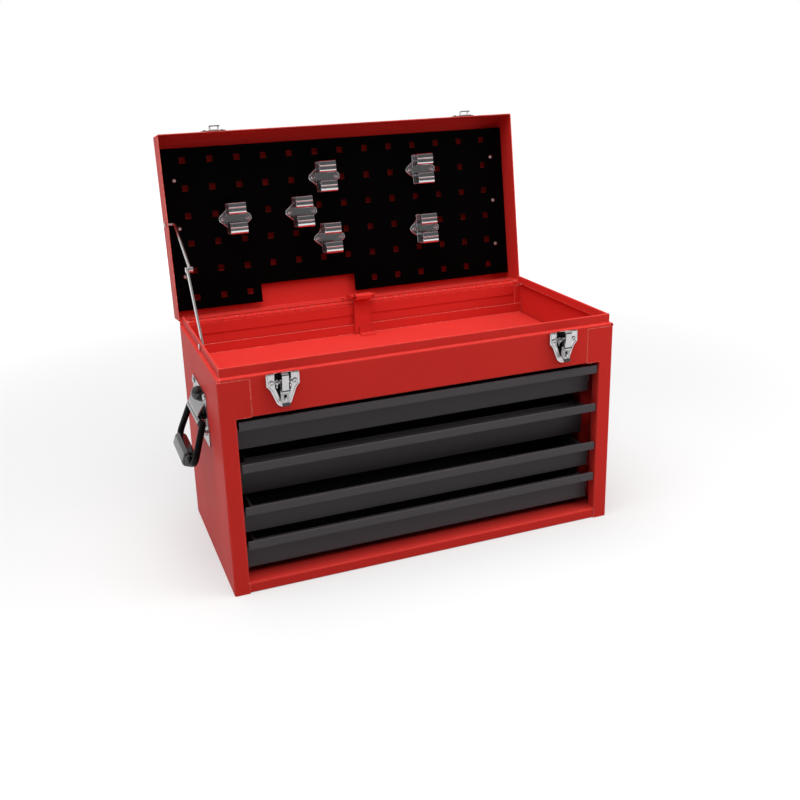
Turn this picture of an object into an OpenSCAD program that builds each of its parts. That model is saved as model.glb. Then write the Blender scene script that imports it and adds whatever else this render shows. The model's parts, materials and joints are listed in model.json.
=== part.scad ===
// Sheet-steel tool chest: four drawers, a top tray and a hinged lid with a tool panel.
// X runs to the right, Y to the back and Z up. The origin is the middle of the base.
// The lid is drawn open, the drawers shut and the latches loose.

/* [Case] */
// Width over the side panels
case_w = 525; // [490:1:580]
// Depth from the front plane to the back plane
case_d = 252; // [244:1:300]
// Thickness of the folded sheet
sheet = 1; // [0.8:0.1:1.1]
// Centreline radius of the folds
fold_r = 1.6; // [1.2:0.1:1.8]
// Height of the bottom rail
rail_h = 14; // [10:0.5:20]
// Depth of the bottom rail's top
rail_d = 30; // [20:1:36]
// Height of the fascia above the drawers
fascia_h = 51; // [46:1:70]
// Width of the stiles beside the drawers
stile_w = 19.5; // [18:0.5:26]
// Depth of the stiles' return
stile_return = 14; // [8:1:16]
// Width of the corner flange beside the fascia
corner_w = 38.5; // [32:0.5:60]
// Width of the ledge that the lid sits over
ledge_w = 4; // [4:0.5:6]
// Height of the raised lip above the ledge
lip_h = 12; // [10:0.5:16]
// Tray floor above the drawer opening
tray_rise = 6; // [4:0.5:12]
// Height of the tray floor's upturned edges
tray_edge = 14; // [8:1:20]

/* [Drawers] */
// Heights of the drawer fronts, from the top
front_h = [42, 54, 41, 43.5]; // [38:0.5:70]
// Gaps above the drawer fronts, from the top
gap_above = [5, 12, 1.5, 4.5]; // [1:0.5:16]
// Gap under the lowest drawer front
base_gap = 11.5; // [4:0.5:20]
// Depths of the front panels behind the case front, from the top
recess = [21, 36, 18, 18]; // [14:1:40]
// Gap between a drawer front and the stile
side_gap = 2.5; // [1.5:0.5:4]
// Depth of the pull's front face behind the case front
pull_setback = 1; // [0:0.5:3]
// Height of the pull's front face
pull_h = 11.5; // [9:0.5:16]
// Travel of the drawers
drawer_travel = 160; // [120:1:165]
// Drop of the drawer's walls below its front
wall_drop = 7; // [5:0.5:10]
// Gap between the drawers and the back plane
rear_gap = 12; // [11:0.5:20]
// Height of a runner's middle above its drawer front's lower edge
runner_rise = 17; // [14:0.5:20]
// Height between the flanges of a fixed slide rail
rail_gap = 10; // [8:0.5:12]
// Running clearance of the slides
slide_clear = 0.3; // [0.2:0.05:0.5]

/* [Lid] */
// Height of the lid
lid_h = 44; // [42:1:60]
// Gap between the lid's edge and the ledge
lid_gap = 0.8; // [0.5:0.1:1.5]
// Opening angle of the lid
open_angle = 98; // [92:1:102]
// Radius of the lid's outer edges
lid_round = 2.5; // [1.5:0.1:4]
// Hinge axis behind the back plane
hinge_back = 3.1; // [2.9:0.1:3.6]
// Radius of the hinge pin
hinge_pin_r = 1.2; // [1:0.1:1.4]
// Length of the hinge
hinge_len = 500; // [400:1:500]
// Width of a hinge leaf
leaf_w = 16.5; // [12:0.5:20]
// Number of hinge knuckles
knuckles = 63; // [11:2:71]

/* [Tool panel] */
// Tool panel behind the lid's edge
panel_depth = 35; // [32:0.5:36]
// Thickness of the tool panel
panel_t = 1.2; // [1:0.1:1.5]
// Tool panel edge from the lid's front and back
panel_front = 17.5; // [8:0.5:25]
// Tool panel edge from the lid's hinge side
panel_back = 10.5; // [8:0.5:20]
// Pitch of the square holes
hole_pitch = 38; // [34:1:38]
// Width of the square holes
hole_w = 8.5; // [6:0.5:12]
// Columns of square holes
hole_columns = 13; // [5:1:13]
// Rows of square holes
hole_rows = 6; // [2:1:6]
// Width of the notch at the panel's hinge edge
notch_w = 142; // [60:1:180]
// Height of the notch
notch_h = 25.5; // [10:0.5:30]
// Middle of the notch from the chest's middle
notch_x = -64.5; // [-120:0.5:60]

/* [Tool clips] */
// Length of the clip's jaws
clip_len = 25; // [20:1:28]
// Half the height of the clip's base
clip_half = 22.4; // [20:0.1:23]
// Height of the clip's jaws above the panel
clip_rise = 23.4; // [20:0.1:25]
// Gap between the clip's jaws
clip_gap = 9; // [7:0.5:12]
// Thickness of the clip's strip
clip_t = 1.2; // [0.8:0.1:1.5]

/* [Latches] */
// Latches from the chest's sides
latch_in = 76.5; // [66:0.5:120]
// Width of a latch plate
latch_w = 40; // [34:1:46]
// Height of a latch plate
latch_h = 41.5; // [40:0.5:46]
// Angle of a loose latch lever
latch_loose = 9; // [8:0.5:10]

/* [Handles] */
// Length of a handle plate
handle_len = 92; // [84:1:110]
// Height of a handle plate
handle_h = 70; // [64:1:80]
// Height of the handle's pivot above the base
handle_z = 197; // [150:1:200]
// Handle pivot outside the side panel
handle_out = 7.5; // [7.5:0.5:9]
// Distance from the pivot to the grip
bail_drop = 50; // [44:1:60]
// Spread of each arm of the bail towards the grip
bail_spread = 13; // [6:1:16]
// Radius of the bail's rod
bail_r = 4.25; // [3.5:0.25:4.5]
// Outer face of the grip from the rod's middle
grip_out = 10.7; // [9:0.1:12]
// Tilt of the resting bail
bail_tilt = 19.5; // [18:0.5:26]

/* [Lid stay] */
// Stay pivots in front of the hinge axis
stay_reach = 136; // [120:1:138]
// Length of each stay link
stay_link = 109; // [108:0.5:112]
// Height of the case pivot above the ledge
stay_low = 6; // [5:0.5:7]
// Height of the lid pivot above the ledge, lid shut
stay_high = 16; // [15.5:0.5:18]

/* [Drawer lock] */
// Radius of the lock pin about the hinge axis
lock_reach = 15.4; // [15.2:0.1:16]
// Width of the lock bar
lock_w = 24.5; // [18:0.5:30]
// Height of the drawer wall under the lock's hook
lock_wall = 9; // [7:0.5:10]

/* [Hidden] */
$fn = 48;
touch = 0.1;
half_w = case_w / 2;
front_y = -case_d / 2;
back_y = case_d / 2;

function total(v, n) = n <= 0 ? 0 : v[n - 1] + total(v, n - 1);
drawers = len(front_h);
opening_top = rail_h + base_gap + total(front_h, drawers) + total(gap_above, drawers);
opening_half = half_w - stile_w;
case_h = opening_top + fascia_h;
tray_z = opening_top + tray_rise;

// Lip: folded over into a hem, with this distance between its two layers
hem_gap = 1.6;
lip_out = half_w - ledge_w;
hem_foot = 1;
rear_flange = 12;
fold_zone = 4;
seam_gap = 0.4;
inner_half = half_w - sheet / 2 - fold_r;

// Drawer positions, numbered from the top
function front_top(i) = opening_top - total(gap_above, i + 1) - total(front_h, i);
function front_bottom(i) = front_top(i) - front_h[i];
function panel_y(i) = front_y + recess[i];
function floor_z(i) = front_bottom(i) + 2 * sheet;
function wall_top(i) = front_top(i) - wall_drop;
function rail_z(i) = front_bottom(i) + runner_rise;
function rail_start(i) = panel_y(i) + sheet + 2;
front_half = opening_half - side_gap;
box_rear = back_y - rear_gap;

// Slides: a fixed rail against the posts, a runner nested in it
rail_web = opening_half - sheet / 2;
rail_flange = 9.5;
runner_half = rail_gap / 2 - slide_clear;
box_half = opening_half - sheet - rail_flange - 1.5;
post_w = 20;
post_foot = 8;
front_post_y = front_y + max(recess) + 8;
rear_post_y = box_rear - 30;
stop_t = 1.2;

// Hinge and lid
hinge_y = back_y + hinge_back;
hinge_z = case_h;
leaf_y = back_y - 1.5 * sheet;
knuckle_r = hinge_back - 0.3;
strap_z = knuckle_r - sheet / 2;
lid_edge = case_h + lid_gap;
lid_top = lid_edge + lid_h;
panel_z = lid_edge + panel_depth;
plate_z = lid_top - sheet;
panel_y0 = front_y + panel_front;
panel_y1 = back_y - panel_back;
panel_half = half_w - sheet - 0.5;
pin_clear = 0.06;

// Tool clips: middles on the panel, across and back
clip_at = [[-163, -7], [-66, -8], [-27, -55], [-27, 33], [124, -55], [124, 33]];
clip_ear = 17.5;
clip_ear_r = 6;
clip_waist = 12;
clip_rivet_r = 2.6;

// Panel screws: rows at these places, in a column at each side
screw_y = [-65, 1, 68];
screw_in = 19;
screw_r = 1.9;

// Latches, measured from the middle of the plate's upper edge: outwards and down
latch_x = half_w - latch_in;
latch_top = case_h - 1;
latch_t = 1.2;
latch_rise = 3.6;
latch_shoulder = 16;
latch_waist = 15.5;
latch_foot_r = 10.2;
latch_rivet = [14, -11];
latch_rivet_r = 2.8;
lever_pivot = [6, -10];
lever_r = 3;
lever_half = 4.8;
lever_out = 7.9;
lever_in = 4;
lever_end = -38.5;
lever_flare = 3.5;
latch_pin_r = 1.6;
cheek_in = 7.5;
hook_pivot = [11.3, -21];
hook_half = 4;
hook_t = 2;
hook_pin_r = 1.2;
hook_top = 0.4;
claw_in = 5.4;
pad_half = 1;
pad_z = [-32, -26.5];
pad_out = 14;

// Strikes, in the same measure as the latches with the lid shut
strike_foot = lid_gap + 1 + 1.7;
strike_h = 12;
strike_half = 17;
strike_rivet = 12;
strike_out = 6.6;
strike_low = -2.6;
strike_t = 1.4;
loop_half = 7;
loop_window = 4.5;

// Handles
handle_half = handle_len / 2;
handle_t = 1.2;
handle_top = 39;
handle_foot = handle_top - handle_h;
handle_rivets = [[handle_half - 10, handle_top - 6], [handle_half - 22, handle_foot + 12]];
handle_rivet_r = 4;
barrel_r = bail_r + handle_t;
barrel_half = handle_half - 7;
arm_y = handle_half - 2;
bail_corner = 9;
rod_slim = 0.03;
rod_over = 0.3;
top_corner = 5;
hood_half = barrel_half - 7;
hood_high = 25;
hood_out = 11;
boss_r = 8.5;
boss_h = 6.5;
boss_z = 27;
tab_drop = 10;
tab_w = 4.5;
grip_half = arm_y + bail_spread - bail_corner * 2.2;
grip_in = bail_r + 1.55;
grip_high = 9.5;
grip_collar = 5.5;

// Drawer lock
lock_pin_r = 1.5;
lock_half = lock_w / 2;
half_open = open_angle / 2;
lock_travel = 2 * lock_reach * sin(half_open);
lock_pin_y = hinge_y - lock_reach * cos(half_open);
lock_pin_z = hinge_z + lock_reach * sin(half_open);
bar_t = 2;
bar_back = back_y - 2 * sheet - 1.6;
bar_front = bar_back - bar_t;
eye_t = 1.6;
eye_clear = 0.4;
eye_play = 0.9;
hook_in = 12;
hook_play = 3;
hook_low = 4;
notch_half = 18;
lug_in = lock_half + 2.25;
lug_t = 2;

// Stay: pivots about the hinge axis, the knee on the far side of the hinge
function turned(p, a) = [p[0] * cos(a) - p[1] * sin(a), p[0] * sin(a) + p[1] * cos(a)];
stay_p1 = [-stay_reach, stay_low];
stay_p2 = turned([-stay_reach, stay_high], -open_angle);
stay_mid = (stay_p1 + stay_p2) / 2;
stay_half = norm(stay_p2 - stay_p1) / 2;
stay_side = stay_mid / norm(stay_mid);
stay_knee = stay_mid + stay_side * sqrt(stay_link * stay_link - stay_half * stay_half);
stay_pin_r = 2;
stay_bar_t = 2;
stay_bar_w = 7.5;
stay_rod_r = 2;
stay_bar_x = -lip_out + sheet + hem_gap + 0.3;
stay_rod_x = stay_bar_x + stay_bar_t + 0.8 + stay_rod_r;

paint_red = [0.74, 0.1, 0.11];
paint_grey = [0.22, 0.22, 0.24];
paint_black = [0.05, 0.05, 0.05];
nickel = [0.78, 0.79, 0.81];
zinc = [0.8, 0.8, 0.78];

// Folded sheet: a polygon round a path, with an arc of radius r at each inner point
function unit(v) = v / norm(v);
function left_of(v) = [-v[1], v[0]];
fold_steps = 5;
function fold_corner(a, b, c, r, off) =
    let (d0 = unit(b - a), d1 = unit(c - b), turn = atan2(cross(d0, d1), d0 * d1))
    let (s = sign(turn), start = b - d0 * r * tan(abs(turn) / 2))
    let (middle = start + s * r * left_of(d0))
    [for (k = [0:fold_steps]) middle - (s * r - off) * turned(left_of(d0), turn * k / fold_steps)];
function fold_side(path, r, off) = let (n = len(path) - 1)
    [for (i = [0:n]) each
        i == 0 ? [path[0] + off * left_of(unit(path[1] - path[0]))]
        : i == n ? [path[n] + off * left_of(unit(path[n] - path[n - 1]))]
        : fold_corner(path[i - 1], path[i], path[i + 1], is_list(r) ? r[i - 1] : r, off)];
function reversed(v) = [for (i = [len(v) - 1:-1:0]) v[i]];
module folded(path, r = fold_r, t = sheet)
    polygon(concat(fold_side(path, r, t / 2), reversed(fold_side(path, r, -t / 2))));

// Sections drawn in YZ, XZ or XY and run along the third axis
module along_x(x0, x1) translate([x0, 0, 0]) rotate([90, 0, 90]) linear_extrude(x1 - x0) children();
module along_y(y0, y1) translate([0, y1, 0]) rotate([90, 0, 0]) linear_extrude(y1 - y0) children();
module along_z(z0, z1) translate([0, 0, z0]) linear_extrude(z1 - z0) children();
module block(lo, hi) translate(lo) cube(hi - lo);
module rod_x(x0, x1, r) translate([x0, 0, 0]) rotate([0, 90, 0]) cylinder(h = x1 - x0, r = r);
module rod_y(y0, y1, r) translate([0, y0, 0]) rotate([-90, 0, 0]) cylinder(h = y1 - y0, r = r);
module both_sides() for (m = [0, 1]) mirror([m, 0, 0]) children();

// Rectangle with round corners, between two corner points
module round_rect(lo, hi, r) {
    translate([lo[0] + r, lo[1]]) square([hi[0] - lo[0] - 2 * r, hi[1] - lo[1]]);
    translate([lo[0], lo[1] + r]) square([hi[0] - lo[0], hi[1] - lo[1] - 2 * r]);
    for (x = [lo[0] + r, hi[0] - r], y = [lo[1] + r, hi[1] - r]) translate([x, y]) circle(r);
}

// Domed rivet head standing on z = 0
module rivet_head(r, h) {
    ball = (r * r + h * h) / (2 * h);
    intersection() {
        translate([0, 0, h - ball]) sphere(ball);
        translate([0, 0, h / 2]) cube([2 * r + 2, 2 * r + 2, h], center = true);
    }
}

module lid_pose()
    translate([0, hinge_y, hinge_z]) rotate([-open_angle, 0, 0]) translate([0, -hinge_y, -hinge_z])
        children();

// Case

// Plan of a left side panel whose front flange is of the given width
module side_plan(flange) {
    edge = -half_w + sheet / 2;
    front = front_y + sheet / 2;
    folded([[-half_w + flange, front], [edge, front], [edge, back_y - 1.5 * sheet],
        [-half_w + rear_flange, back_y - 1.5 * sheet]]);
}

// The same with the stile's return
module stile_plan() {
    edge = -half_w + sheet / 2;
    front = front_y + sheet / 2;
    inner = -opening_half - sheet / 2;
    folded([[inner, front_y + stile_return], [inner, front], [edge, front],
        [edge, back_y - 1.5 * sheet], [-half_w + rear_flange, back_y - 1.5 * sheet]]);
}

function lip_path(out, start) =
    [[out, start], [out, case_h - sheet / 2], [out + ledge_w, case_h - sheet / 2],
        [out + ledge_w, case_h + lip_h - sheet / 2],
        [out + ledge_w + hem_gap, case_h + lip_h - sheet / 2],
        [out + ledge_w + hem_gap, case_h + hem_foot]];
lip_radii = [fold_r, fold_r, hem_gap / 2, hem_gap / 2];
lip_back = front_y + ledge_w + sheet + hem_gap + touch;

module side_panel() {
    edge = -half_w + sheet / 2;
    z_mid0 = rail_h + touch;
    z_mid1 = opening_top - touch;
    z_top = case_h - fold_zone;
    along_z(0, z_mid0) side_plan(stile_w);
    along_z(z_mid0, z_mid1) stile_plan();
    along_z(z_mid1, z_top) side_plan(corner_w - seam_gap);
    along_y(lip_back, back_y - sheet) folded(lip_path(edge, z_top), lip_radii);
    along_y(front_y, lip_back)
        folded([[edge, z_top], [edge, case_h - sheet / 2], [-lip_out, case_h - sheet / 2]]);
}

module left_side_panel() color(paint_red) difference() {
    side_panel();
    translate([0, hinge_y + stay_p1[0], hinge_z + stay_p1[1]])
        rod_x(-half_w + ledge_w - 1, -half_w + ledge_w + 5, stay_pin_r + pin_clear);
}

module right_side_panel() color(paint_red) mirror([1, 0, 0]) side_panel();

module back_panel() color(paint_red)
    block([-half_w, back_y - sheet, 0], [half_w, back_y, hinge_z - knuckle_r - touch]);

module bottom_pan() color(paint_red) {
    rear = back_y - 2.5 * sheet - touch;
    front = front_y + 1.5 * sheet;
    low = sheet / 2;
    high = rail_h - sheet / 2;
    along_x(-inner_half, inner_half)
        folded([[rear, rail_h], [rear, low], [front, low], [front, high],
            [front + rail_d, high], [front + rail_d, sheet + touch]]);
}

module front_fascia() color(paint_red) {
    face = front_y + sheet / 2;
    low = opening_top + sheet / 2;
    z_top = case_h - fold_zone;
    seam = half_w - corner_w;
    along_x(-seam, seam) folded([[front_y + stile_return, low], [face, low], [face, z_top]]);
    along_x(-lip_out, lip_out) folded(lip_path(face, z_top), lip_radii);
}

module tray_floor() color(paint_red) {
    side = inner_half - sheet / 2;
    mid = tray_z - sheet / 2;
    rear = back_y - 2.5 * sheet - touch;
    front = front_y + 1.5 * sheet + touch;
    difference() {
        union() {
            along_y(front - sheet / 2, rear + sheet / 2)
                folded([[-side, tray_z - 10], [-side, mid], [side, mid], [side, tray_z - 10]]);
            block([-side, front - sheet / 2, mid], [side, front + sheet / 2, tray_z + tray_edge]);
            block([-side, rear - sheet / 2, mid], [side, rear + sheet / 2, tray_z + tray_edge]);
        }
        block([-lock_half - 1, bar_front - 0.8, tray_z - 2], [lock_half + 1, rear - sheet / 2, tray_z + 2]);
    }
}

module rail_post(y) {
    wall = -half_w + 1.5 * sheet;
    face = -opening_half - sheet / 2;
    along_z(sheet, tray_z - 12)
        folded([[wall, y - post_foot], [wall, y], [face, y], [face, y + post_w],
            [wall, y + post_w], [wall, y + post_w + post_foot]]);
}

module rail_posts() color(paint_red) {
    rail_post(front_post_y);
    rail_post(rear_post_y);
}

module left_rail_posts() rail_posts();

module right_rail_posts() mirror([1, 0, 0]) rail_posts();

// Fixed rails: channels open to the drawer, with a stop tab at the front end
module slide_rails() color(zinc) for (i = [0:drawers - 1]) {
    z = rail_z(i);
    mid = (rail_gap + sheet) / 2;
    along_y(rail_start(i), box_rear - 4)
        folded([[-rail_web + rail_flange, z + mid], [-rail_web, z + mid],
            [-rail_web, z - mid], [-rail_web + rail_flange, z - mid]]);
    block([-rail_web, rail_start(i), z - 2.5], [-rail_web + 3.2, rail_start(i) + stop_t, z + 2.5]);
}

module left_slide_rails() slide_rails();

module right_slide_rails() mirror([1, 0, 0]) slide_rails();

// Hinge

// One leaf with the knuckles of the given parity, drawn below the axis
module hinge_leaf(parity) {
    pitch = hinge_len / knuckles;
    along_x(-hinge_len / 2, hinge_len / 2)
        translate([leaf_y - sheet / 2, hinge_z - leaf_w])
            square([sheet, leaf_w - strap_z - sheet / 2 + sheet]);
    for (k = [parity:2:knuckles - 1]) {
        x0 = -hinge_len / 2 + k * pitch + 0.2;
        difference() {
            union() {
                block([x0, leaf_y - sheet / 2, hinge_z - strap_z - sheet / 2],
                    [x0 + pitch - 0.4, hinge_y, hinge_z - strap_z + sheet / 2]);
                translate([0, hinge_y, hinge_z]) rod_x(x0, x0 + pitch - 0.4, knuckle_r);
            }
            translate([0, hinge_y, hinge_z]) rod_x(x0 - 1, x0 + pitch, hinge_pin_r + pin_clear);
        }
    }
}

module hinge_case_leaf() color(paint_red) hinge_leaf(0);

module hinge_lid_leaf() color(paint_red) lid_pose()
    translate([0, 0, hinge_z]) mirror([0, 0, 1]) translate([0, 0, -hinge_z]) hinge_leaf(1);

module hinge_pin() color(zinc) translate([0, hinge_y, hinge_z])
    rod_x(-hinge_len / 2 - 0.5, hinge_len / 2 + 0.5, hinge_pin_r);

// Lid, drawn shut and turned open

module lid_solid(inset) {
    r = lid_round - inset;
    lo = [-half_w + inset, front_y + inset, lid_edge - (inset > 0 ? 1 : 0)];
    hi = [half_w - inset, back_y - inset, lid_top - inset];
    deep = 10;
    intersection() {
        along_x(lo[0], hi[0]) round_rect([lo[1], lo[2] - deep], [hi[1], hi[2]], r);
        along_y(lo[1], hi[1]) round_rect([lo[0], lo[2] - deep], [hi[0], hi[2]], r);
        along_z(lo[2], hi[2]) round_rect([lo[0], lo[1]], [hi[0], hi[1]], r);
    }
}

module lid_shell() color(paint_red) lid_pose() difference() {
    lid_solid(0);
    lid_solid(sheet);
    block([-hinge_len / 2 - 0.5, back_y - 2 * sheet, lid_edge - 1],
        [hinge_len / 2 + 0.5, back_y + 1, hinge_z + knuckle_r + touch]);
    translate([0, hinge_y - stay_reach, hinge_z + stay_high])
        rod_x(-half_w - 1, -half_w + sheet + 1, stay_pin_r + pin_clear);
}

module tool_panel() color(paint_black) lid_pose() {
    x0 = -(hole_columns - 1) * hole_pitch / 2;
    y0 = (panel_y0 + panel_y1 - (hole_rows - 1) * hole_pitch) / 2;
    along_z(panel_z, panel_z + panel_t) difference() {
        translate([-panel_half, panel_y0]) square([2 * panel_half, panel_y1 - panel_y0]);
        for (c = [0:hole_columns - 1], r = [0:hole_rows - 1])
            if (r < hole_rows - 1 || abs(x0 + c * hole_pitch - notch_x) > notch_w / 2 + hole_w)
                translate([x0 + c * hole_pitch, y0 + r * hole_pitch]) square(hole_w, center = true);
        translate([notch_x - notch_w / 2, panel_y1 - notch_h]) square([notch_w, notch_h + 1]);
        at_screws() circle(screw_r + 0.2);
    }
}

module at_screws() for (s = [-1, 1], y = screw_y) translate([s * (panel_half - screw_in), y]) children();

module panel_spacers() color(zinc) lid_pose()
    along_z(panel_z + panel_t, plate_z) at_screws() difference() {
        circle(4);
        circle(screw_r + 0.15);
    }

module panel_screws() color(zinc) lid_pose() at_screws() {
    translate([0, 0, panel_z]) mirror([0, 0, 1]) rivet_head(2.6, 1.5);
    translate([0, 0, panel_z - touch]) cylinder(h = panel_t + 4, r = screw_r);
}

// Spring clip: a base plate with two ears, and two jaws whose lips roll in towards each other
clip_jaw_path = [[0, clip_t / 2], [clip_half, clip_t / 2], [clip_half - 1.4, clip_rise - 3],
    [clip_half - 6, clip_rise - clip_t / 2], [clip_half - 10.5, clip_rise - clip_t / 2],
    [(clip_gap + clip_t) / 2 + 0.3, clip_rise - 4.4], [(clip_gap + clip_t) / 2, clip_rise - 7]];
clip_jaw_radii = [3, 2.4, 1.6, 2, 1.4];

module clip_base() {
    square([clip_len, 2 * clip_waist], center = true);
    for (s = [-1, 1]) {
        translate([s * clip_ear, 0]) circle(clip_ear_r);
        polygon([[s * clip_len / 2, -clip_waist], [s * (clip_ear + 3), -clip_ear_r + 0.8],
            [s * (clip_ear + 3), clip_ear_r - 0.8], [s * clip_len / 2, clip_waist]]);
    }
}

module tool_clip(i) color(nickel) lid_pose()
    translate([clip_at[i][0], clip_at[i][1], panel_z]) mirror([0, 0, 1]) {
        along_z(0, clip_t) clip_base();
        for (m = [0, 1]) mirror([0, m, 0]) along_x(-clip_len / 2, clip_len / 2)
            folded(clip_jaw_path, clip_jaw_radii, clip_t);
    }

module lid_rivets() color(nickel) lid_pose() {
    for (p = clip_at, s = [-1, 1]) translate([p[0] + s * clip_ear, p[1], panel_z - clip_t])
        mirror([0, 0, 1]) rivet_head(clip_rivet_r, 1.4);
    for (s = [-1, 1], e = [-1, 1]) latch_place(s)
        translate([e * strike_rivet, -latch_t, strike_foot + strike_h / 2])
            rotate([90, 0, 0]) rivet_head(2.4, 1.3);
}

// Strike: a base plate on the lid's front, and a loop that stands out before the latch's claw
module strike(side) color(nickel) lid_pose() latch_place(side) {
    along_y(-latch_t, 0) round_rect([-strike_half, strike_foot], [strike_half, strike_foot + strike_h], 3);
    difference() {
        latch_section(-loop_half, loop_half)
            folded([[strike_t / 2, strike_foot + 5], [strike_t / 2, strike_foot + 1],
                [strike_out, strike_foot - 1.5], [strike_out, strike_low]], 1.2, strike_t);
        block([-loop_window, -strike_out - strike_t, strike_low + strike_t],
            [loop_window, -latch_t - 1, strike_foot + 1]);
    }
}

module left_strike() strike(-1);

module right_strike() strike(1);

// Drawer lock

// Lugs on the lid's hinge leaf, drawn with the lid shut
module lock_lugs() color(paint_red) lid_pose() both_sides() difference() {
    leaf_face = leaf_y - sheet / 2;
    pin = [lock_pin_y, 2 * hinge_z - lock_pin_z];
    eye = 3.1;
    union() {
        along_x(lug_in, lug_in + lug_t) {
            translate(pin) circle(eye);
            polygon([[leaf_face, hinge_z + 15], [leaf_face, hinge_z + 4], [pin[0] + eye, hinge_z + 1],
                [pin[0] + eye, pin[1]], [pin[0] - eye, pin[1]], [pin[0] - eye + 1, hinge_z + 15]]);
        }
        block([lug_in, leaf_face - lug_t, hinge_z + 4], [lug_in + 9.5, leaf_face, hinge_z + 15]);
    }
    translate([0, pin[0], pin[1]]) rod_x(lug_in - 1, lug_in + 12, lock_pin_r + 0.05);
}

module lock_pin() color(paint_red) translate([0, lock_pin_y, lock_pin_z]) {
    end = lug_in + lug_t + touch;
    rod_x(-end, end, lock_pin_r);
    both_sides() rod_x(end, end + 1.2, 2.6);
}

function tab_z(i) = floor_z(i) + lock_wall + hook_play + lock_travel;
function tab_tip(i) = floor_z(i) + hook_low + lock_travel;

module lock_bar() color(paint_red) {
    y0 = hinge_y - lock_reach - lock_pin_r - eye_clear;
    y1 = lock_pin_y + lock_pin_r + eye_clear;
    h = lock_pin_r + eye_play;
    difference() {
        union() {
            along_x(-lock_half, lock_half)
                round_rect([y0 - eye_t, lock_pin_z - h - eye_t], [y1 + eye_t, lock_pin_z + h + eye_t], h);
            block([-lock_half, bar_front, tab_z(drawers - 1) - 12],
                [lock_half, bar_back, lock_pin_z - h]);
            for (i = [0:drawers - 1]) {
                block([-6, bar_front - hook_in, tab_z(i)], [6, bar_front + touch, tab_z(i) + bar_t]);
                block([-6, bar_front - hook_in, tab_tip(i)],
                    [6, bar_front - hook_in + bar_t, tab_z(i) + touch]);
            }
        }
        along_x(-lock_half - 1, lock_half + 1) round_rect([y0, lock_pin_z - h], [y1, lock_pin_z + h], 1.5);
    }
}

// Guide on the tray floor in front of the bar
module lock_guide() color(paint_red) {
    face = bar_front - 0.5;
    translate([4.5, 0, 0]) {
        along_x(-10.5, 10.5) translate([face, tray_z])
            folded([[-0.6, 10], [-0.6, 0.6], [-14, 0.6]], 1.4, 1.2);
        translate([0, face - 8.5, tray_z + 1.1]) rivet_head(3, 2);
    }
}

// Latches, drawn at the left or right place

module latch_place(side) translate([side * latch_x, front_y, latch_top]) children();

// Points given outwards and up, in a section across the chest
module latch_section(x0, x1) mirror([0, 1, 0]) along_x(x0, x1) children();

// Point where a line from p touches the lower side of a circle about c
function tangent_point(c, r, p) =
    let (d = p - c, a = atan2(d[1], d[0]) - acos(r / norm(d)))
    c + r * [cos(a), sin(a)];

// Shield: a wide head and a waist that runs into a round foot
module shield(half, waist, foot_r) {
    foot = [0, -latch_h + latch_foot_r];
    shoulder = [waist, -latch_shoulder - 4];
    meet = tangent_point(foot, foot_r, shoulder);
    round_rect([-half, -latch_shoulder], [half, 0], 2);
    translate(foot) circle(foot_r);
    polygon([[-waist, -2], [waist, -2], shoulder, meet, [-meet[0], meet[1]], [-waist, shoulder[1]]]);
    both_sides() polygon([[waist - 1, -latch_shoulder + 2], [half, -latch_shoulder + 2], shoulder,
        [waist - 1, shoulder[1]]]);
}

module latch_plate(side) color(nickel) latch_place(side) {
    inner = cheek_in + latch_t + 1.3;
    along_y(-latch_t, 0) shield(latch_w / 2, latch_waist, latch_foot_r);
    along_y(-latch_rise, -latch_t + touch) difference() {
        shield(latch_w / 2, latch_waist, latch_foot_r);
        translate([0, 3]) shield(inner, inner, latch_foot_r - 4.5);
    }
    difference() {
        union() {
            both_sides() latch_section(cheek_in, cheek_in + latch_t) {
                translate(lever_pivot) circle(4);
                translate([latch_t / 2, lever_pivot[1] - 7]) square([lever_pivot[0] - latch_t / 2, 11]);
            }
            latch_section(-pad_half, pad_half)
                round_rect([latch_t / 2, pad_z[0]], [pad_out, pad_z[1]], 1.5);
        }
        translate([0, -lever_pivot[0], lever_pivot[1]]) rod_x(-12, 12, latch_pin_r + 0.02);
        translate([0, -10.6, (pad_z[0] + pad_z[1]) / 2]) rod_x(-3, 3, 2);
    }
}

module left_latch_plate() latch_plate(-1);

module right_latch_plate() latch_plate(1);

module latch_pins() color(nickel) for (side = [-1, 1]) latch_place(side)
    translate([0, -lever_pivot[0], lever_pivot[1]]) {
        end = cheek_in + latch_t + 0.05;
        rod_x(-end, end, latch_pin_r);
        both_sides() rod_x(end, end + 0.9, 2.6);
    }

// Turns about the lever's pivot by the loose angle, lower end outwards
module lever_pose(a)
    translate([0, -lever_pivot[0], lever_pivot[1]]) rotate([-a, 0, 0])
        translate([0, lever_pivot[0], -lever_pivot[1]]) children();

// Turns about the hook's pivot, upper end outwards
module hook_pose(a)
    translate([0, -hook_pivot[0], hook_pivot[1]]) rotate([a, 0, 0])
        translate([0, hook_pivot[0], -hook_pivot[1]]) children();

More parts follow.
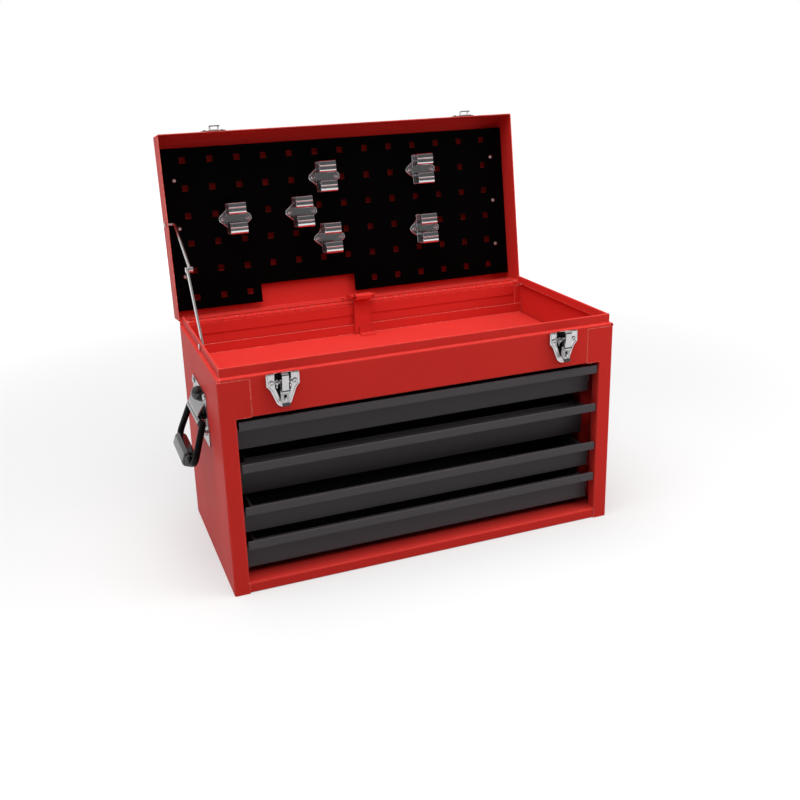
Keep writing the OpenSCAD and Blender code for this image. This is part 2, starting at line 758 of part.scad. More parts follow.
module latch_lever(side) color(nickel) latch_place(side) lever_pose(latch_loose) difference() {
    union() {
        latch_section(-lever_half, lever_half) {
            translate(lever_pivot) circle(lever_r);
            folded([[lever_out, lever_pivot[1]], [lever_out, lever_end + lever_flare],
                [lever_out + 1.6, lever_end]], 2, latch_t);
        }
        both_sides() latch_section(lever_half - latch_t, lever_half)
            translate([lever_in, lever_end + lever_flare])
                square([lever_out - lever_in, lever_pivot[1] - lever_end - lever_flare]);
        both_sides() latch_section(hook_half + 0.4, hook_half + 1.8) {
            translate(hook_pivot) circle(2.3);
            translate([lever_out, hook_pivot[1] - 2.3]) square([hook_pivot[0] - lever_out, 4.6]);
        }
    }
    translate([0, -lever_pivot[0], lever_pivot[1]]) rod_x(-9, 9, latch_pin_r + pin_clear);
    translate([0, -hook_pivot[0], hook_pivot[1]]) rod_x(-9, 9, hook_pin_r + pin_clear);
    along_y(-lever_out - 2, -lever_out + 2)
        round_rect([-pad_half - 0.8, pad_z[0] - 2.4], [pad_half + 0.8, pad_z[1] + 1.4], 1);
}

module left_latch_lever() latch_lever(-1);

module right_latch_lever() latch_lever(1);

// Hook: a barrel with trunnions, a strap and a claw that reaches through the strike's loop
module latch_hook(side) color(nickel) latch_place(side) lever_pose(latch_loose) hook_pose(2 * latch_loose) {
    latch_section(-hook_half, hook_half) {
        translate(hook_pivot) circle(2.3);
        folded([hook_pivot, [hook_pivot[0], hook_top], [claw_in, hook_top]], 1.4, hook_t);
    }
    translate([0, -hook_pivot[0], hook_pivot[1]]) rod_x(-hook_half - 1.8, hook_half + 1.8, hook_pin_r);
}

module left_latch_hook() latch_hook(-1);

module right_latch_hook() latch_hook(1);

// Handles, drawn at the left side and mirrored

module handle_place() translate([-half_w, 0, handle_z]) children();

module handle_plate() color(nickel) handle_place() {
    lean = tan(bail_tilt);
    tab_reach = handle_out + (tab_drop - 1) * lean - bail_r / cos(bail_tilt) - 0.3;
    along_x(-handle_t, 0) round_rect([-handle_half, handle_foot], [handle_half, handle_top], 5);
    along_y(-hood_half, hood_half)
        folded([[-handle_t / 2, hood_high + 5], [-handle_t / 2, hood_high], [-hood_out + 0.6, barrel_r + 3.4],
            [-hood_out, barrel_r + 1]], [3, 1.4], handle_t);
    translate([-handle_t / 2, 0, boss_z]) rotate([0, -90, 0]) rivet_head(boss_r, boss_h);
    difference() {
        along_y(-barrel_half, barrel_half) {
            translate([-handle_out, 0]) circle(barrel_r);
            translate([-handle_out, -barrel_r]) square([handle_out - handle_t / 2, 2 * barrel_r]);
        }
        translate([-handle_out, 0, 0]) rod_y(-barrel_half - 1, barrel_half + 1, bail_r + pin_clear);
    }
    for (s = [-1, 1]) block([-tab_reach, s * handle_half - (s > 0 ? tab_w : 0), -tab_drop - 1],
        [-handle_t / 2, s * handle_half + (s > 0 ? 0 : tab_w), -tab_drop + 1]);
}

module left_handle_plate() handle_plate();

module right_handle_plate() mirror([1, 0, 0]) handle_plate();

module case_rivets() color(nickel) {
    both_sides() handle_place() for (p = handle_rivets, e = [-1, 1])
        translate([-handle_t, e * p[0], p[1]]) rotate([0, -90, 0]) rivet_head(handle_rivet_r, 2.2);
    for (side = [-1, 1]) latch_place(side) for (x = latch_rivet[0] * [-1, 1])
        translate([x, -latch_rise, latch_rivet[1]]) rotate([90, 0, 0]) rivet_head(latch_rivet_r, 1.5);
}

// Bail hanging from its pivot, tilted outwards
module bail_place() handle_place() translate([-handle_out, 0, 0]) rotate([0, bail_tilt, 0]) children();

// Rod bent along points in a plane, with the given radius at each inner corner; the straight
// runs are a hair thinner than the bends and reach into them
module bent_rod(path, radii, rod) {
    n = len(path) - 1;
    d = [for (i = [0:n - 1]) unit(path[i + 1] - path[i])];
    turn = [for (i = [1:n - 1]) atan2(cross(d[i - 1], d[i]), d[i - 1] * d[i])];
    cut = [for (i = [0:n]) i == 0 || i == n ? 0 : radii[i - 1] * tan(abs(turn[i - 1]) / 2)];
    for (i = [0:n - 1]) {
        before = i > 0 ? rod_over : 0;
        after = i < n - 1 ? rod_over : 0;
        translate(path[i] + (cut[i] - before) * d[i]) rotate([0, 0, atan2(d[i][1], d[i][0])])
            rod_x(0, norm(path[i + 1] - path[i]) - cut[i] - cut[i + 1] + before + after, rod - rod_slim);
    }
    for (i = [1:n - 1]) {
        side = sign(turn[i - 1]) * left_of(d[i - 1]);
        middle = path[i] - cut[i] * d[i - 1] + radii[i - 1] * side;
        first = turn[i - 1] > 0 ? -side : -turned(side, turn[i - 1]);
        translate(middle) rotate([0, 0, atan2(first[1], first[0])])
            rotate_extrude(angle = abs(turn[i - 1])) translate([radii[i - 1], 0]) circle(rod);
    }
}

module handle_bail() color(paint_black) bail_place() rotate([90, 0, 90]) {
    low_y = arm_y + bail_spread;
    bent_rod([[0, 0], [arm_y, 0], [low_y, -bail_drop], [-low_y, -bail_drop], [-arm_y, 0], [0, 0]],
        [top_corner, bail_corner, bail_corner, top_corner], bail_r);
}

module left_handle_bail() handle_bail();

module right_handle_bail() mirror([1, 0, 0]) handle_bail();

// Grip: a sleeve of flattened section, deeper on its outer side, with a collar at each end
module handle_grip() color(paint_black) bail_place() translate([0, 0, -bail_drop]) difference() {
    long = grip_half + grip_collar;
    low = grip_high - 2;
    union() {
        along_y(-grip_half, grip_half) round_rect([-grip_out, -grip_high], [grip_in, grip_high], 5.6);
        along_y(-long, long) round_rect([-grip_out + 2.5, -low], [grip_in - 0.4, low], 4.6);
    }
    rod_y(-long - 1, long + 1, bail_r + 0.02);
}

module left_handle_grip() handle_grip();

module right_handle_grip() mirror([1, 0, 0]) handle_grip();

// Lid stay

// Puts a link's own frame at its pivot, with its length along Y, towards the knee
module stay_place(p) {
    d = stay_knee - p;
    translate([0, hinge_y + p[0], hinge_z + p[1]]) rotate([atan2(d[1], d[0]), 0, 0]) children();
}

module stay_lower_link() color(zinc) stay_place(stay_p1) {
    edge = -lip_out - 0.2;
    along_x(stay_bar_x, stay_bar_x + stay_bar_t) {
        translate([0, -stay_bar_w / 2]) square([stay_link, stay_bar_w]);
        circle(d = stay_bar_w);
        translate([stay_link, 0]) circle(d = stay_bar_w);
    }
    rod_x(edge - touch, stay_bar_x + touch, stay_pin_r);
    rod_x(edge - 1.4, edge, 3.6);
    translate([0, stay_link, 0]) rod_x(stay_bar_x - 1.2, stay_bar_x + touch, 3.6);
}

module stay_upper_link() color(zinc) stay_place(stay_p2) {
    bend = 5;
    eye = stay_rod_r + 0.2;
    out = -half_w - 0.3;
    rod_x(out - 0.5, stay_rod_x - bend, stay_rod_r);
    rod_x(out - 2, out, 3.2);
    translate([stay_rod_x - bend, bend, 0]) rotate([0, 0, -90])
        rotate_extrude(angle = 90) translate([bend, 0]) circle(stay_rod_r);
    translate([stay_rod_x, 0, 0]) rod_y(bend, stay_link - 3, stay_rod_r);
    translate([0, stay_link, 0]) {
        rod_x(stay_rod_x - eye, stay_rod_x + eye, stay_bar_w / 2);
        rod_x(stay_rod_x + eye - touch, stay_rod_x + eye + 1.2, 3.6);
    }
}

// Drawers

module drawer_box(i) color(paint_grey) {
    y0 = panel_y(i) + sheet;
    z0 = front_bottom(i) + sheet;
    top = wall_top(i);
    hem = 6;
    difference() {
        block([-box_half, y0, z0], [box_half, box_rear, top]);
        block([-box_half + sheet, y0 + sheet, z0 + sheet], [box_half - sheet, box_rear - sheet, top + 1]);
        block([-notch_half, box_rear - 4, floor_z(i) + lock_wall], [notch_half, box_rear + 1, top + 1]);
    }
    both_sides() block([-box_half + sheet / 2, y0 + sheet / 2, top - hem],
        [-box_half + 2.2 * sheet, box_rear - sheet / 2, top]);
    both_sides() block([notch_half, box_rear - 2.2 * sheet, top - hem],
        [box_half - sheet / 2, box_rear - sheet / 2, top]);
}

// Bent front: a flat panel, a channel that runs forward and a pull that stands up before it
module drawer_front(i) color(paint_grey) {
    panel = panel_y(i) + sheet / 2;
    low = front_bottom(i) + sheet / 2;
    top = front_top(i) - sheet / 2;
    channel = front_top(i) - pull_h + sheet / 2;
    pull = front_y + pull_setback + sheet / 2;
    hem = 3.2;
    along_x(-front_half, front_half)
        folded([[panel + 10, low], [panel, low], [panel, channel], [pull, channel], [pull, top],
            [pull + hem, top], [pull + hem, top - 3.6]],
            [sheet / 2 + touch, fold_r, fold_r, hem / 2 - 0.1, hem / 2 - 0.1]);
}

// Runners: channels on the drawer's sides, each with a stop lug
module drawer_runners(i) color(zinc) both_sides() {
    z = rail_z(i);
    web = -box_half - sheet / 2;
    mid = runner_half - sheet / 2;
    tip = -rail_web + sheet / 2 + 0.8;
    lug_y = rail_start(i) + stop_t + slide_clear + drawer_travel;
    along_y(panel_y(i) + sheet, box_rear - 1)
        folded([[tip, z + mid], [web, z + mid], [web, z - mid], [tip, z - mid]]);
    block([tip, lug_y, z - mid], [web, lug_y + 2, z + mid]);
}

left_side_panel();
right_side_panel();
back_panel();
bottom_pan();
front_fascia();
tray_floor();
left_rail_posts();
right_rail_posts();
left_slide_rails();
right_slide_rails();
hinge_case_leaf();
hinge_pin();
lock_guide();
left_latch_plate();
right_latch_plate();
latch_pins();
left_handle_plate();
right_handle_plate();
case_rivets();
lid_shell();
hinge_lid_leaf();
tool_panel();
panel_spacers();
panel_screws();
for (i = [0:len(clip_at) - 1]) tool_clip(i);
lid_rivets();
left_strike();
right_strike();
lock_lugs();
lock_pin();
for (i = [0:drawers - 1]) {
    drawer_box(i);
    drawer_front(i);
    drawer_runners(i);
}
left_latch_lever();
right_latch_lever();
left_latch_hook();
right_latch_hook();
left_handle_bail();
right_handle_bail();
left_handle_grip();
right_handle_grip();
stay_lower_link();
stay_upper_link();
lock_bar();
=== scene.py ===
"""Looks of a sheet-steel drawer tool chest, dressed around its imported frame."""

import json
import logging
import math
from dataclasses import dataclass, replace
from enum import Enum

import bmesh
import bpy
from mathutils import Matrix, Vector


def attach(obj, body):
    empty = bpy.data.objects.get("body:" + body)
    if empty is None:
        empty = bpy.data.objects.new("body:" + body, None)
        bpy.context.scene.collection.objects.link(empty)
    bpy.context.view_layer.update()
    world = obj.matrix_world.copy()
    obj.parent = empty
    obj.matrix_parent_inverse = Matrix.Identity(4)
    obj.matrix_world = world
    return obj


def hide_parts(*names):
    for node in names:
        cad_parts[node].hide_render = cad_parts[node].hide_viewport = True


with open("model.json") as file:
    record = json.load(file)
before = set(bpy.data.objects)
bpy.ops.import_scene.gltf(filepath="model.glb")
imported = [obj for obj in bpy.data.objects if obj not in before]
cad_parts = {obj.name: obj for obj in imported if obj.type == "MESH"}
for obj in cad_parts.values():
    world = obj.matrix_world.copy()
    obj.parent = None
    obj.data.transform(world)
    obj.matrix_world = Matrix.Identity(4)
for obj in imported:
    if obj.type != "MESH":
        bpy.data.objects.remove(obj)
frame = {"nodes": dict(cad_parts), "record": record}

LOG = logging.getLogger("tool_chest")
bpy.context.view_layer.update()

MM = 0.001
SHARP = math.radians(35.0)
SIDES = {"left": -1, "right": 1}
ENDS = (-1, 1)
HINGE = Vector((0.0, 0.1291, 0.280))
LATCH_MIDDLE = 0.186
CASE_FRONT = -0.126
PLATE_RISE = 0.0036
PANEL_FACE = 0.3158
FACING_FRONT = Matrix.Rotation(math.pi / 2, 4, "X")
FACING_DOWN = Matrix.Rotation(math.pi, 4, "X")

Colour = tuple[float, float, float]
Pair = tuple[float, float]
Line = tuple[Pair, ...]
Material = bpy.types.Material
Mesh = bmesh.types.BMesh
Node = bpy.types.Node
NodeTree = bpy.types.NodeTree
Socket = bpy.types.NodeSocket


class Slot(str, Enum):
    """Material slots of the record, one for each finish of the chest."""

    RED = "red_paint"
    GREY = "grey_paint"
    BLACK = "black_paint"
    ROD = "black_steel"
    ZINC = "zinc_steel"
    NICKEL = "nickel_plate"
    GRIP = "black_grip"


class Graph:
    """A node tree with short ways to add nodes and join their sockets."""

    def __init__(self, tree: NodeTree) -> None:
        """Takes over a tree and empties it."""
        self.tree = tree
        self.tree.nodes.clear()

    def add(self, kind: str, **settings: object) -> Node:
        """Adds one node.

        Args:
            kind: the node's type without its ShaderNode prefix.
            settings: the node's own properties, such as operation.

        Returns:
            The new node.
        """
        prefix = "" if kind.startswith("NodeGroup") else "ShaderNode"
        node = self.tree.nodes.new(prefix + kind)
        for name, value in settings.items():
            setattr(node, name, value)
        return node

    def join(self, source: Socket, target: Socket) -> None:
        """Links an output to an input."""
        self.tree.links.new(source, target)

    def feed(self, target: Socket, value: object) -> None:
        """Links a socket to an input, or sets a plain value on it.

        Args:
            target: the input to fill.
            value: an output socket, a number, a vector or a colour.
        """
        if isinstance(value, Socket):
            self.join(value, target)
        elif isinstance(value, tuple) and target.type == "RGBA":
            target.default_value = (*value, 1.0)
        else:
            target.default_value = value

    def fill(self, node: Node, *values: object, **named: object) -> Node:
        """Fills a node's inputs.

        Args:
            node: the node.
            values: what feeds its first inputs, in order.
            named: what feeds other inputs, with _ for a space in a name.

        Returns:
            The node.
        """
        for socket, value in zip(node.inputs, values):
            self.feed(socket, value)
        for name, value in named.items():
            self.feed(node.inputs[name.replace("_", " ")], value)
        return node

    def place(self) -> Socket:
        """Gives the object's own coordinates."""
        return self.add("TexCoord").outputs["Object"]

    def normal(self) -> Socket:
        """Gives the surface's normal."""
        return self.add("NewGeometry").outputs["Normal"]

    def math(self, operation: str, *values: object, clamp: bool = False) -> Socket:
        """Adds a Math node and gives its value, from 0 to 1 with clamp."""
        node = self.add("Math", operation=operation, use_clamp=clamp)
        return self.fill(node, *values).outputs[0]

    def vector_math(self, operation: str, *values: object) -> Socket:
        """Adds a Vector Math node whose result is a number, and gives that."""
        node = self.add("VectorMath", operation=operation)
        return self.fill(node, *values).outputs["Value"]

    def blend(self, factor: Socket, first: object, second: object) -> Socket:
        """Mixes two colours.

        Args:
            factor: how much of the second colour shows.
            first: a colour or a socket.
            second: a colour or a socket.

        Returns:
            The mixed colour's socket.
        """
        node = self.add("Mix", data_type="RGBA")
        colour_inputs = [socket for socket in node.inputs if socket.type == "RGBA"]
        self.feed(node.inputs["Factor"], factor)
        for socket, colour in zip(colour_inputs, (first, second)):
            self.feed(socket, colour)
        return next(socket for socket in node.outputs if socket.type == "RGBA")

    def spread(self, value: Socket, start: Pair, end: Pair, smooth: bool = False) -> Socket:
        """Maps one range of values onto another.

        Args:
            value: the socket to map.
            start: the range that it has.
            end: the range that it gets.
            smooth: eases the two ends of the range.

        Returns:
            The mapped value's socket.
        """
        node = self.add("MapRange", interpolation_type="SMOOTHSTEP" if smooth else "LINEAR")
        self.fill(node, Value=value, From_Min=start[0], From_Max=start[1],
                  To_Min=end[0], To_Max=end[1])
        return node.outputs["Result"]

    def noise(self, vector: Socket, scale: Socket, detail: float = 3.0,
              rough: float = 0.55) -> Socket:
        """Adds a noise texture.

        Args:
            vector: the coordinates to read.
            scale: how many waves there are to a metre.
            detail: the number of finer layers.
            rough: the strength of the finer layers.

        Returns:
            The noise's value socket, about 0.5 on average.
        """
        node = self.add("TexNoise")
        self.fill(node, Vector=vector, Scale=scale, Detail=detail, Roughness=rough)
        return node.outputs[0]


class EffectLibrary:
    """Node groups that several finishes share, each built once."""

    def __init__(self) -> None:
        """Builds every group."""
        self.powder = self._powder()
        self.edges = self._edges()
        self.dust_and_top_light = self._dust_and_top_light()
        self.plating = self._plating()

    @staticmethod
    def _group(name: str, inputs: dict[str, float], *outputs: str) -> tuple[Graph, dict, dict]:
        """Starts a group with named sockets.

        Args:
            name: the group's name.
            inputs: each input's name and usual value.
            outputs: the outputs' names, all plain values.

        Returns:
            The group's graph, its input sockets and its output sockets, by name.
        """
        tree, kind = bpy.data.node_groups.new(name, "ShaderNodeTree"), "NodeSocketFloat"
        for label, value in inputs.items():
            socket = tree.interface.new_socket(label, in_out="INPUT", socket_type=kind)
            socket.default_value = value
        for label in outputs:
            tree.interface.new_socket(label, in_out="OUTPUT", socket_type=kind)
        graph = Graph(tree)
        given, out = graph.add("NodeGroupInput"), graph.add("NodeGroupOutput")
        return graph, dict(given.outputs.items()), dict(out.inputs.items())

    def _powder(self) -> NodeTree:
        """Builds the powder coat: fine orange peel with slow drifts of tone and gloss.

        Returns:
            The group.
        """
        graph, given, out = self._group(
            "Powder coat", {"Peel Scale": 900.0, "Drift Scale": 7.0}, "Peel", "Tone", "Gloss")
        speck_fineness, speck_share, gloss_fineness = 2.3, 0.3, 4.0
        place, peel, drift = graph.place(), given["Peel Scale"], given["Drift Scale"]
        graph.join(graph.noise(place, peel, detail=2.0, rough=0.4), out["Peel"])
        slow = graph.noise(place, drift, detail=4.0, rough=0.6)
        fine = graph.math("MULTIPLY", peel, speck_fineness)
        speck = graph.noise(place, fine, detail=1.0, rough=0.5)
        slow = graph.math("MULTIPLY", slow, 1 - speck_share)
        tone = graph.math("MULTIPLY_ADD", speck, speck_share, slow, clamp=True)
        graph.join(tone, out["Tone"])
        gloss = graph.noise(place, graph.math("MULTIPLY", drift, gloss_fineness))
        graph.join(gloss, out["Gloss"])
        return graph.tree

    def _edges(self) -> NodeTree:
        """Builds the edge mask: where a corner is sharp, broken up so that it looks handled;
        finishes use it for handled wear, and for painted highlights and painted shade along edges.

        Returns:
            The group.
        """
        graph, given, out = self._group(
            "Handled edges and painted edge shading", {"Radius": 0.0008, "Amount": 0.5, "Break Scale": 160.0}, "Mask")
        gain, untouched, contrast = 5.0, 0.28, 3.0
        bevel = graph.fill(graph.add("Bevel", samples=6), Radius=given["Radius"])
        turn = graph.vector_math("DOT_PRODUCT", bevel.outputs[0], graph.normal())
        sharp = graph.math("SUBTRACT", 1.0, turn, clamp=True)
        sharp = graph.math("MULTIPLY", sharp, gain, clamp=True)
        broken = graph.noise(graph.place(), given["Break Scale"], detail=4.0, rough=0.65)
        broken = graph.math("SUBTRACT", broken, untouched)
        broken = graph.math("MULTIPLY", broken, contrast, clamp=True)
        mask = graph.math("MULTIPLY", sharp, broken)
        graph.join(graph.math("MULTIPLY", mask, given["Amount"], clamp=True), out["Mask"])
        return graph.tree

    def _dust_and_top_light(self) -> NodeTree:
        """Builds a thin film on faces that look up, thicker in patches: settled dust, and painted
        top light that lightens those faces.

        Returns:
            The group.
        """
        graph, given, out = self._group(
            "Settled dust", {"Amount": 0.05, "Patch Scale": 22.0}, "Mask")
        steepest, gain = 0.3, 1.4
        split = graph.fill(graph.add("SeparateXYZ"), Vector=graph.normal())
        upward = graph.math("SUBTRACT", split.outputs["Z"], steepest)
        upward = graph.math("MULTIPLY", upward, gain, clamp=True)
        patch = graph.noise(graph.place(), given["Patch Scale"], detail=6.0, rough=0.7)
        mask = graph.math("MULTIPLY", upward, patch)
        graph.join(graph.math("MULTIPLY", mask, given["Amount"], clamp=True), out["Mask"])
        return graph.tree

    def _plating(self) -> NodeTree:
        """Builds the plating: polishing lines along the strip, and slow clouds in the gloss.

        Returns:
            The group.
        """
        graph, given, out = self._group(
            "Plating", {"Line Scale": 260.0, "Cloud Scale": 45.0}, "Lines", "Clouds")
        place, stretch = graph.place(), Vector((0.06, 1.0, 1.0))
        long = graph.fill(graph.add("Mapping"), Vector=place, Scale=stretch).outputs[0]
        lines = graph.noise(long, given["Line Scale"], detail=4.0, rough=0.7)
        clouds = graph.noise(place, given["Cloud Scale"], rough=0.6)
        graph.join(lines, out["Lines"])
        graph.join(clouds, out["Clouds"])
        return graph.tree


class Surface:
    """A material with one Principled shader."""

    def __init__(self, name: str) -> None:
        """Starts the material.

        Args:
            name: the material's name.
        """
        self.material = bpy.data.materials.new(name)
        self.material.use_nodes = True
        self.graph = Graph(self.material.node_tree)
        self.shader = self.graph.add("BsdfPrincipled")
        self.graph.fill(self.graph.add("OutputMaterial"), Surface=self.shader.outputs[0])

    def group(self, tree: NodeTree, **values: float) -> dict[str, Socket]:
        """Places a shared group.

        Args:
            tree: the group.
            values: its inputs, with _ for a space in a name.

        Returns:
            The group's output sockets by name.
        """
        node = self.graph.fill(self.graph.add("Group", node_tree=tree), **values)
        return dict(node.outputs.items())

    def finish(self, base: Socket, gloss: Socket, roughness: Pair, height: Socket,
               bump: Pair) -> Material:
        """Joins colour, gloss and bump to the shader.

        Args:
            base: the colour.
            gloss: a value from 0 to 1 that runs over the range of roughness.
            roughness: that range.
            height: the height of the bump.
            bump: the bump's strength and depth.

        Returns:
            The material.
        """
        graph = self.graph
        normal = graph.fill(graph.add("Bump"), Strength=bump[0], Distance=bump[1], Height=height)
        rough = graph.spread(gloss, (0.0, 1.0), roughness)
        graph.fill(self.shader, Base_Color=base, Roughness=rough, Normal=normal.outputs[0])
        return self.material


def toned(colour: Colour, factor: float) -> Colour:
    """Scales a colour's brightness."""
    return tuple(min(1.0, channel * factor) for channel in colour)


@dataclass(frozen=True)
class PaintFinish:
    """A sprayed or powder-coated finish on sheet steel."""

    name: str
    colour: Colour
    # Colour of sharp edges: handled wear, and on some finishes a painted highlight, on others
    # painted shade.
    edge_wear_and_shading: Colour
    roughness: Pair
    specular: float
    peel_scale: float = 900.0
    peel: Pair = (0.6, 0.00002)
    tone: float = 0.12
    edge_wear_and_shading_amount: float = 0.25
    edge: float = 0.0008
    # Film on up-facing faces: settled dust, and also painted top light that lightens them as if
    # lit from above.
    dust_and_top_light: float = 0.03
    dust_and_top_light_film: Colour = (0.42, 0.40, 0.37)

    def make(self, effects: EffectLibrary) -> Material:
        """Makes the paint's material.

        Args:
            effects: the shared groups.

        Returns:
            The material.
        """
        surface = Surface(self.name)
        blend = surface.graph.blend
        coat = surface.group(effects.powder, Peel_Scale=self.peel_scale)
        edge = surface.group(effects.edges, Amount=self.edge_wear_and_shading_amount, Radius=self.edge)
        dust_and_top_light_film = surface.group(effects.dust_and_top_light, Amount=self.dust_and_top_light)
        dark, light = toned(self.colour, 1 - self.tone), toned(self.colour, 1 + self.tone)
        # Sharp edges take the edge colour: handled wear, and on some finishes a painted highlight,
        # on others painted shade.
        base = blend(edge["Mask"], blend(coat["Tone"], dark, light), self.edge_wear_and_shading)
        # Up-facing faces take the film: settled dust and painted top light.
        base = blend(dust_and_top_light_film["Mask"], base, self.dust_and_top_light_film)
        surface.shader.inputs["Specular IOR Level"].default_value = self.specular
        return surface.finish(base, coat["Gloss"], self.roughness, coat["Peel"], self.peel)


@dataclass(frozen=True)
class PlateFinish:
    """Bare plated steel, bright or dull."""

    name: str
    colour: Colour
    cloud: Colour
    # Colour of sharp edges: handled wear, and on some plates a painted highlight.
    edge_wear_and_shading: Colour
    roughness: Pair
    lines: Pair = (0.5, 0.00001)
    edge_wear_and_shading_amount: float = 0.3
    edge: float = 0.0008

    def make(self, effects: EffectLibrary) -> Material:
        """Makes the plating's material.

        Args:
            effects: the shared groups.

        Returns:
            The material.
        """
        surface = Surface(self.name)
        graph = surface.graph
        plate = surface.group(effects.plating)
        edge = surface.group(effects.edges, Amount=self.edge_wear_and_shading_amount, Radius=self.edge)
        base = graph.blend(plate["Clouds"], self.cloud, self.colour)
        # Sharp edges take the edge colour: handled wear, and on some plates a painted highlight.
        base = graph.blend(edge["Mask"], base, self.edge_wear_and_shading)
        gloss = graph.math("MULTIPLY", graph.math("ADD", plate["Lines"], plate["Clouds"]), 0.5)
        surface.shader.inputs["Metallic"].default_value = 1.0
        return surface.finish(base, gloss, self.roughness, plate["Lines"], self.lines)


# The red's pale pink edges are partly handled wear and partly a painted highlight, standing in for
# light caught by the rounded folds.
RED = PaintFinish("red powder coat", (0.60, 0.029, 0.023), (1.0, 0.38, 0.31), (0.34, 0.44), 0.02,
                  edge_wear_and_shading_amount=0.85, edge=0.0013)
SLOT_FINISHES = {
    Slot.RED: RED,
    Slot.GREY: PaintFinish("anthracite powder coat", (0.056, 0.049, 0.054), (0.16, 0.15, 0.155),
                           (0.42, 0.52), 0.25, peel_scale=1100.0),
    Slot.BLACK: PaintFinish("matt black paint", (0.0009, 0.0007, 0.0007), (0.006, 0.005, 0.005),
                            (0.55, 0.7), 0.02, dust_and_top_light=0.0006),
    Slot.ROD: PaintFinish("black coated rod", (0.0025, 0.0025, 0.0028), (0.012, 0.012, 0.012),
                          (0.28, 0.4), 0.1, dust_and_top_light=0.003),
    Slot.GRIP: PaintFinish("moulded grip", (0.005, 0.005, 0.0053), (0.02, 0.02, 0.02),
                           (0.12, 0.2), 0.8, peel_scale=1500.0, dust_and_top_light=0.004),
    Slot.ZINC: PlateFinish("zinc plate", (0.80, 0.79, 0.77), (0.66, 0.66, 0.65),
                           (0.96, 0.95, 0.92), (0.22, 0.4)),
    Slot.NICKEL: PlateFinish("bright nickel plate", (0.60, 0.59, 0.595), (0.50, 0.49, 0.495),
                             (0.72, 0.71, 0.714), (0.14, 0.26)),
}
# Variants of a slot's finish, each with the pieces that take it.
# Painted shade: near-black edges on the hinge and lock parts stand in for the shadow lines in the
# gaps around them.
EDGE_SHADED_RED = replace(RED, name="red powder coat with painted shade at edges", edge_wear_and_shading=(0.14, 0.005, 0.004),
                     edge_wear_and_shading_amount=0.9, edge=0.0009)
# Painted reflection: the handle plates' nickel is darkened to show a dark room mirrored in it, and
# its pale edges are a painted highlight.
REFLECTION_DARKENED_PLATE = PlateFinish("nickel plate darkened with painted reflection", (0.24, 0.235, 0.24), (0.17, 0.165, 0.17),
                         (0.95, 0.94, 0.93), (0.10, 0.2), edge_wear_and_shading_amount=1.0, edge=0.0014)
# A lighter copy of the nickel for the clips and their rivets, with a painted highlight along their
# edges.
LIGHTENED_CLIP_PLATE = PlateFinish("lightened nickel plate with painted edge highlights", (0.74, 0.735, 0.75), (0.62, 0.615, 0.63),
                           (0.92, 0.91, 0.92), (0.08, 0.18), edge_wear_and_shading_amount=0.8, edge=0.0007)
VARIANTS = (
    (EDGE_SHADED_RED, ("hinge_case_leaf", "hinge_case_lip", "hinge_end_barrels", "hinge_lid_leaf",
                  "hinge_rolled_lip", "lock_bar", "lock_guide", "lock_lugs", "lock_pin")),
    (REFLECTION_DARKENED_PLATE, ("left_handle_plate", "right_handle_plate")),
    (LIGHTENED_CLIP_PLATE, ("lid_rivets", "clip_cup_rivets",
                    *(f"{kind}_clip_{k}" for kind in ("tool", "spring") for k in range(1, 7)))),
)


class Finishes:
    """The materials of the chest by slot, and the variants that some pieces take."""

    def __init__(self, effects: EffectLibrary) -> None:
        """Makes every finish once.

        Args:
            effects: the shared groups.
        """
        self.by_slot = {slot: finish.make(effects) for slot, finish in SLOT_FINISHES.items()}
        self.by_piece: dict[str, Material] = {}
        for finish, pieces in VARIANTS:
            self.by_piece.update(dict.fromkeys(pieces, finish.make(effects)))

    def dress(self, piece: bpy.types.Object, name: str, slot: Slot) -> None:
        """Gives a piece one finish.

        Args:
            piece: a mesh object.
            name: the piece's name.
            slot: the finish it takes, unless it has a variant of its own.
        """
        piece.data.materials.clear()
        piece.data.materials.append(self.by_piece.get(name, self.by_slot[slot]))


def arc(start: float, end: float, steps: int) -> list[float]:
    """Gives evenly spaced angles in radians, between two angles in degrees."""
    return [math.radians(start + (end - start) * k / steps) for k in range(steps + 1)]


def metres(line: Line) -> list[Vector]:
    """Turns a line in millimetres into points in metres."""
    return [Vector(point) * MM for point in line]


def mirrored(half: list[Vector]) -> list[Vector]:
    """Adds the other half to a line that ends on the middle."""
    return half + [Vector((-point.x, point.y)) for point in reversed(half[:-1])]


def across(line: list[Vector], k: int) -> Vector:
    """Gives the direction to the right of a flat line at one of its points."""
    along = (line[min(k + 1, len(line) - 1)] - line[max(k - 1, 0)]).normalized()
    return Vector((along.y, -along.x))


def skin(mesh: Mesh, sections: list[list[Vector]]) -> list[list[bmesh.types.BMVert]]:
    """Adds a smooth skin through closed sections; a section of one point makes a tip.

    Args:
        mesh: the mesh to add to.
        sections: rings of points.

    Returns:
        The new vertices, ring by ring.
    """
    rings = [[mesh.verts.new(point) for point in section] for section in sections]
    count = max(len(ring) for ring in rings)
    for low, high in zip(rings, rings[1:]):
        for k in range(count):
            n = (k + 1) % count
            corners = (low[k % len(low)], low[n % len(low)],
                       high[n % len(high)], high[k % len(high)])
            mesh.faces.new(list(dict.fromkeys(corners))).smooth = True
    return rings


def lathe(mesh: Mesh, profile: list[Pair], pose: Matrix, around: int = 28) -> None:
    """Adds a turned shape about the pose's Z axis.

    Args:
        mesh: the mesh to add to.
        profile: radii and heights from the middle of the foot to the middle of the top.
        pose: where the shape stands.
        around: the number of points in a ring.
    """
    angles = arc(0, 360, around)[:-1]
    skin(mesh, [[pose @ Vector((radius * math.cos(a), radius * math.sin(a), height))
                 for a in (angles if radius > 0 else angles[:1])] for radius, height in profile])


